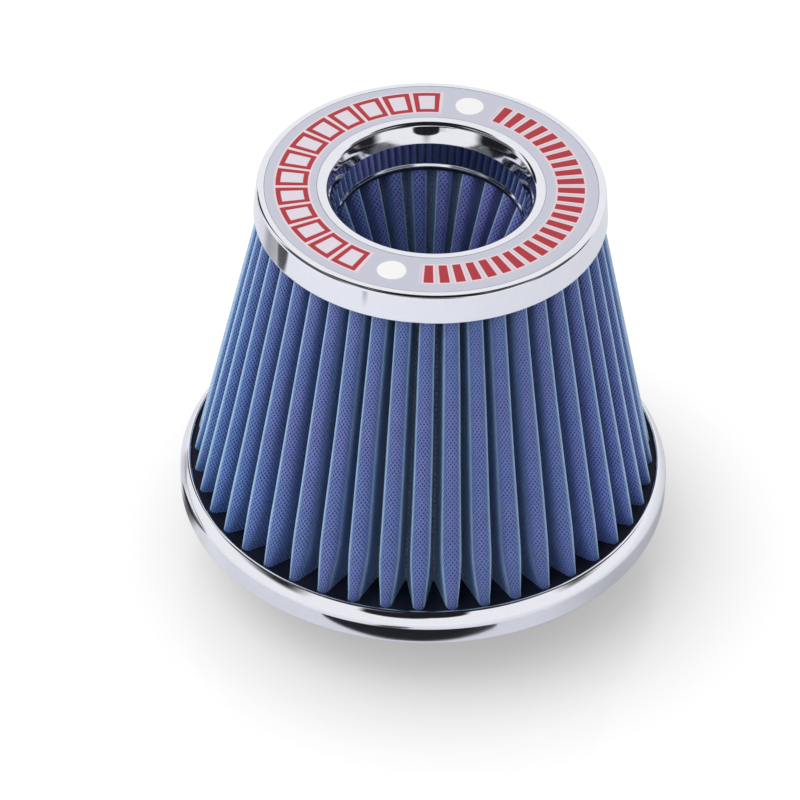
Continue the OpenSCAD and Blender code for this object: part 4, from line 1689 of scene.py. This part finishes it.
@dataclass
class Studio:
    """Camera, floor, cards, lamp and surroundings. The camera's sizes are in pixels, mm and
    radians, and the floor's patch and spots in metres."""

    focal_px: float = 4390.2
    frame_px: float = 800.0
    sensor: float = 36.0
    clip: Span = (0.05, 50.0)
    distance: float = 1368.8
    elevation: float = math.radians(39.746)
    yaw: float = math.radians(-0.327)
    pitch: float = math.radians(-0.813)
    roll: float = math.radians(1.449)
    aim_z: float = 82.0
    white: Colour = (1.0, 0.995, 1.0)
    dark: Colour = (0.02, 0.02, 0.025)
    floor_half: float = 6000.0
    floor_colour: Colour = (0.93, 0.94, 0.98)
    floor_seen: Colour = (0.95, 0.945, 0.95)
    floor_roughness: float = 0.05
    floor_glow: float = 1.08
    # painted shadow: a dark arc on the floor in front of the filter, seen only in reflections,
    # which the base ring mirrors as a dark streak
    patch_x: float = -0.005
    patch_across: float = 0.049
    patch_reach: float = 0.1085
    patch_half: float = 0.0045
    patch_least: float = 0.0001
    patch_span: Span = (0.8, 1.1)
    patch_front: Span = (-0.01, 0.0)
    spot_end: float = 1.05
    spots: tuple[Spot, ...] = (
        Spot(-0.138, 0.006, 0.060, 0.024),
        Spot(-0.018, -0.140, 0.016, 0.045, 0.9, 0.5),
        Spot(-0.266, 0.035, 0.034, 0.030),
        Spot(-0.240, 0.085, 0.060, 0.060, 0.55, 0.3),
        Spot(-0.180, -0.245, 0.014, 0.014, 0.5, 0.1),
        # painted shadow of the filter on the floor to its right, seen only in reflections
        Spot(0.090, -0.020, 0.050, 0.080, 0.22, 0.2))
    panels: tuple[Card, ...] = (
        Card("low_card", 7.5, 23.4, 436, 14.3, 8.8, 1.0, 0.85),
        Card("ring_card", -9, 24.1, 994, 16.4, 6.9, 1.0, 0.75),
        Card("high_card", 2, 54, 2000, 36, 21, 1.0, 0.85),
        Card("left_card", -72, 20, 430, 28, 14.5, 1.0, 0.55, 6),
        Card("right_card", 84, 20, 430, 28, 14.5, 1.0, 0.55, 6),
        Card("high_left_card", -61, 45, 600, 34, 17, 0.85, 0.8, 6),
        Card("high_right_card", 61, 45, 600, 34, 17, 0.85, 0.8, 6),
        Card("top_card", 0, 88, 2400, 36, 20, shades=True),
        Card("back_left_card", -130, 26, 1500, 10, 26))
    # the floor's glow to the camera: painted light, weaker near the filter so that its shadow stays
    # there
    white_span: Span = (0.058, 0.122)
    white_near: float = 0.3
    white_far: float = 0.85
    shade_x: float = 0.008
    shade_y: float = -0.004
    world_light: float = 0.72
    world_seen: float = 0.23
    key_place: tuple[float, float, float] = (-700.0, -500.0, 1200.0)
    key_size: float = 1600.0
    key_power: float = 11.0

    def build(self) -> None:
        """Makes the whole studio."""
        self.camera()
        self.floor()
        self.world()
        self.lamp()
        for panel in self.panels:
            self.card(panel)

    def camera(self) -> None:
        """Places the camera. It looks from the front and above at a point on the axis, and is
        then turned by the small yaw, pitch and roll that the photograph shows."""
        back = Vector((0, -math.cos(self.elevation), math.sin(self.elevation)))
        up = Vector((0, math.sin(self.elevation), math.cos(self.elevation)))
        right = Vector((1, 0, 0))
        ahead = (-back + math.tan(self.yaw) * right + math.tan(self.pitch) * up).normalized()
        side = ahead.cross(Vector((0, 0, 1))).normalized()
        above = side.cross(ahead)
        x = math.cos(self.roll) * side + math.sin(self.roll) * above
        y = -math.sin(self.roll) * side + math.cos(self.roll) * above
        data = bpy.data.cameras.new("camera")
        data.sensor_width = self.sensor
        data.lens = self.focal_px / self.frame_px * self.sensor
        data.clip_start, data.clip_end = self.clip
        camera = bpy.data.objects.new("camera", data)
        bpy.context.scene.collection.objects.link(camera)
        place = (Vector((0, 0, self.aim_z)) + self.distance * back) * MM
        turn = Matrix((x, y, -ahead)).transposed().to_4x4()
        camera.matrix_world = Matrix.Translation(place) @ turn
        bpy.context.scene.camera = camera

    def floor(self) -> None:
        """A wide pale floor with a faint polish. To the camera it is a mix of its own shade and
        a white glow, whiter away from the filter: painted light that whitens the floor and keeps
        its shadow near the filter. To mirrored light it has dark places of painted shade."""
        h = self.floor_half
        points = np.array([[-h, -h, 0], [h, -h, 0], [h, h, 0], [-h, h, 0]], float)
        floor = mesh_object("floor", points, np.array([[0, 1, 2, 3]]))
        material = bpy.data.materials.new("floor")
        tree = Tree(material)
        seen = Wire(tree, tree.node("LightPath").outputs["Is Camera Ray"])
        around = tree.node("SeparateXYZ", None, Vector=tree.node("TexCoord").outputs["Object"])
        x, y = Wire(tree, around.outputs["X"]), Wire(tree, around.outputs["Y"])
        patch = self.dark_places(x, y) * (1.0 - seen)
        mirrored = tree.mix(patch, self.floor_colour, self.dark)
        shade = tree.mix(seen, mirrored, self.floor_seen)
        shader = tree.node("BsdfPrincipled", None, Base_Color=shade,
                           Roughness=self.floor_roughness)
        glow = tree.node("Emission", None, Color=rgba(self.white), Strength=self.floor_glow)
        # painted light: the glow grows away from a point just off the filter's axis
        shade_x, shade_y = x - self.shade_x, y - self.shade_y
        away = ((shade_x * shade_x + shade_y * shade_y) ** 0.5).ramp(*self.white_span)
        share = self.white_near + (self.white_far - self.white_near) * away
        whiter = tree.node("MixShader", None, i0=seen * share, i1=shader.outputs["BSDF"],
                           i2=glow.outputs["Emission"])
        tree.close(whiter.outputs["Shader"])
        floor.data.materials.append(material)

    def dark_places(self, x: Wire, y: Wire) -> Wire:
        """The floor's dark places, painted shade that only reflections show: an arc in front of the
        filter that gets narrower towards its ends, and oval spots.

        Args:
            x: metres to the right of the filter.
            y: metres behind it.

        Returns:
            How dark the floor is, from 0 to 1.
        """
        reach = (x * x + y * y) ** 0.5
        across = (x - self.patch_x) / self.patch_across
        taper = (1.0 - across * across).high(0.0) ** 0.5
        ahead = abs(reach - self.patch_reach) / (self.patch_half * taper + self.patch_least)
        front = 1.0 - y.ramp(*self.patch_front)
        patch = (1.0 - ahead.ramp(*self.patch_span)) * front
        for spot in self.spots:
            aside, behind = (x - spot.x) / spot.half_x, (y - spot.y) / spot.half_y
            off = (aside * aside + behind * behind) ** 0.5
            patch = patch.high((1.0 - off.ramp(spot.full, self.spot_end)) * spot.strength)
        return patch

    def world(self) -> None:
        """White surroundings: plain white to the camera and in reflections, softer as light."""
        world = bpy.data.worlds.new("studio")
        bpy.context.scene.world = world
        tree = Tree(world)
        path = tree.node("LightPath")
        seen = Wire(tree, path.outputs["Is Camera Ray"])
        mirrored = Wire(tree, path.outputs["Is Glossy Ray"])
        light = self.world_light + self.world_seen * seen.high(mirrored)
        background = tree.node("Background", None, Color=rgba(self.white), Strength=light)
        tree.close(background.outputs["Background"], "OutputWorld")

    def lamp(self) -> None:
        """A broad square lamp above and to the left, aimed at the filter's middle."""
        data = bpy.data.lights.new("key", "AREA")
        data.size = self.key_size * MM
        data.energy = self.key_power
        lamp = bpy.data.objects.new("key", data)
        bpy.context.scene.collection.objects.link(lamp)
        lamp.location = Vector(self.key_place) * MM
        aim = Vector((0, 0, self.aim_z)) * MM - lamp.location
        lamp.rotation_mode = "QUATERNION"
        lamp.rotation_quaternion = aim.to_track_quat("-Z", "Y")
        lamp.visible_glossy = False

    def card(self, panel: Card) -> None:
        """A dark card that faces the filter and fades out towards its rim. The map runs from -1
        to 1 across it both ways, and darkness goes by the root of the sum of the powers of both.

        Args:
            panel: the card's place, size and strength.
        """
        turn, up, far = math.radians(panel.round), math.radians(panel.up), panel.far
        out = Vector((math.sin(turn) * math.cos(up), -math.cos(turn) * math.cos(up),
                      math.sin(up)))
        across = Vector((math.cos(turn), math.sin(turn), 0))
        above = out.cross(across)
        wide = far * math.tan(math.radians(panel.half_wide))
        high = far * math.tan(math.radians(panel.half_high))
        corners = np.array([[-1.0, -1.0], [1.0, -1.0], [1.0, 1.0], [-1.0, 1.0]])
        middle = np.array(out * far + Vector((0, 0, self.aim_z)))
        points = middle + corners @ np.array([wide * across, high * above])
        card = mesh_object(panel.name, points, np.arange(len(corners))[None], corners)
        material = bpy.data.materials.new(panel.name)
        tree = Tree(material)
        place = tree.node("SeparateXYZ", None, Vector=tree.node("TexCoord").outputs["UV"])
        u, v = Wire(tree, place.outputs["X"]), Wire(tree, place.outputs["Y"])
        off = (abs(u) ** panel.power + abs(v) ** panel.power) ** (1.0 / panel.power)
        fade = (1.0 - off.ramp(panel.full, 1.0)) * panel.strength
        shader = tree.node("BsdfDiffuse", None, Color=rgba(self.dark))
        clear = tree.node("BsdfTransparent")
        blend = tree.node("MixShader", None, i0=fade, i1=clear.outputs["BSDF"],
                          i2=shader.outputs["BSDF"])
        tree.close(blend.outputs["Shader"])
        card.data.materials.append(material)
        card.visible_diffuse = panel.shades
        card.visible_shadow = panel.shades
        card.visible_camera = False


def main() -> None:
    """Builds the finishes, the sub-assemblies and the studio."""
    logging.basicConfig(level=logging.INFO, format="%(name)s: %(message)s")
    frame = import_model()
    bpy.context.scene.view_settings.view_transform = "Standard"
    finishes = Finishes().build()
    sizes = Filter.from_frame()
    for assembly in (TopCap, BaseCap, Packs, HoseClamp):
        assembly(sizes, finishes, frame["nodes"]).build()
        log.info("%s done", assembly.__name__)
    Studio().build()


if __name__ == "__main__":
    main()
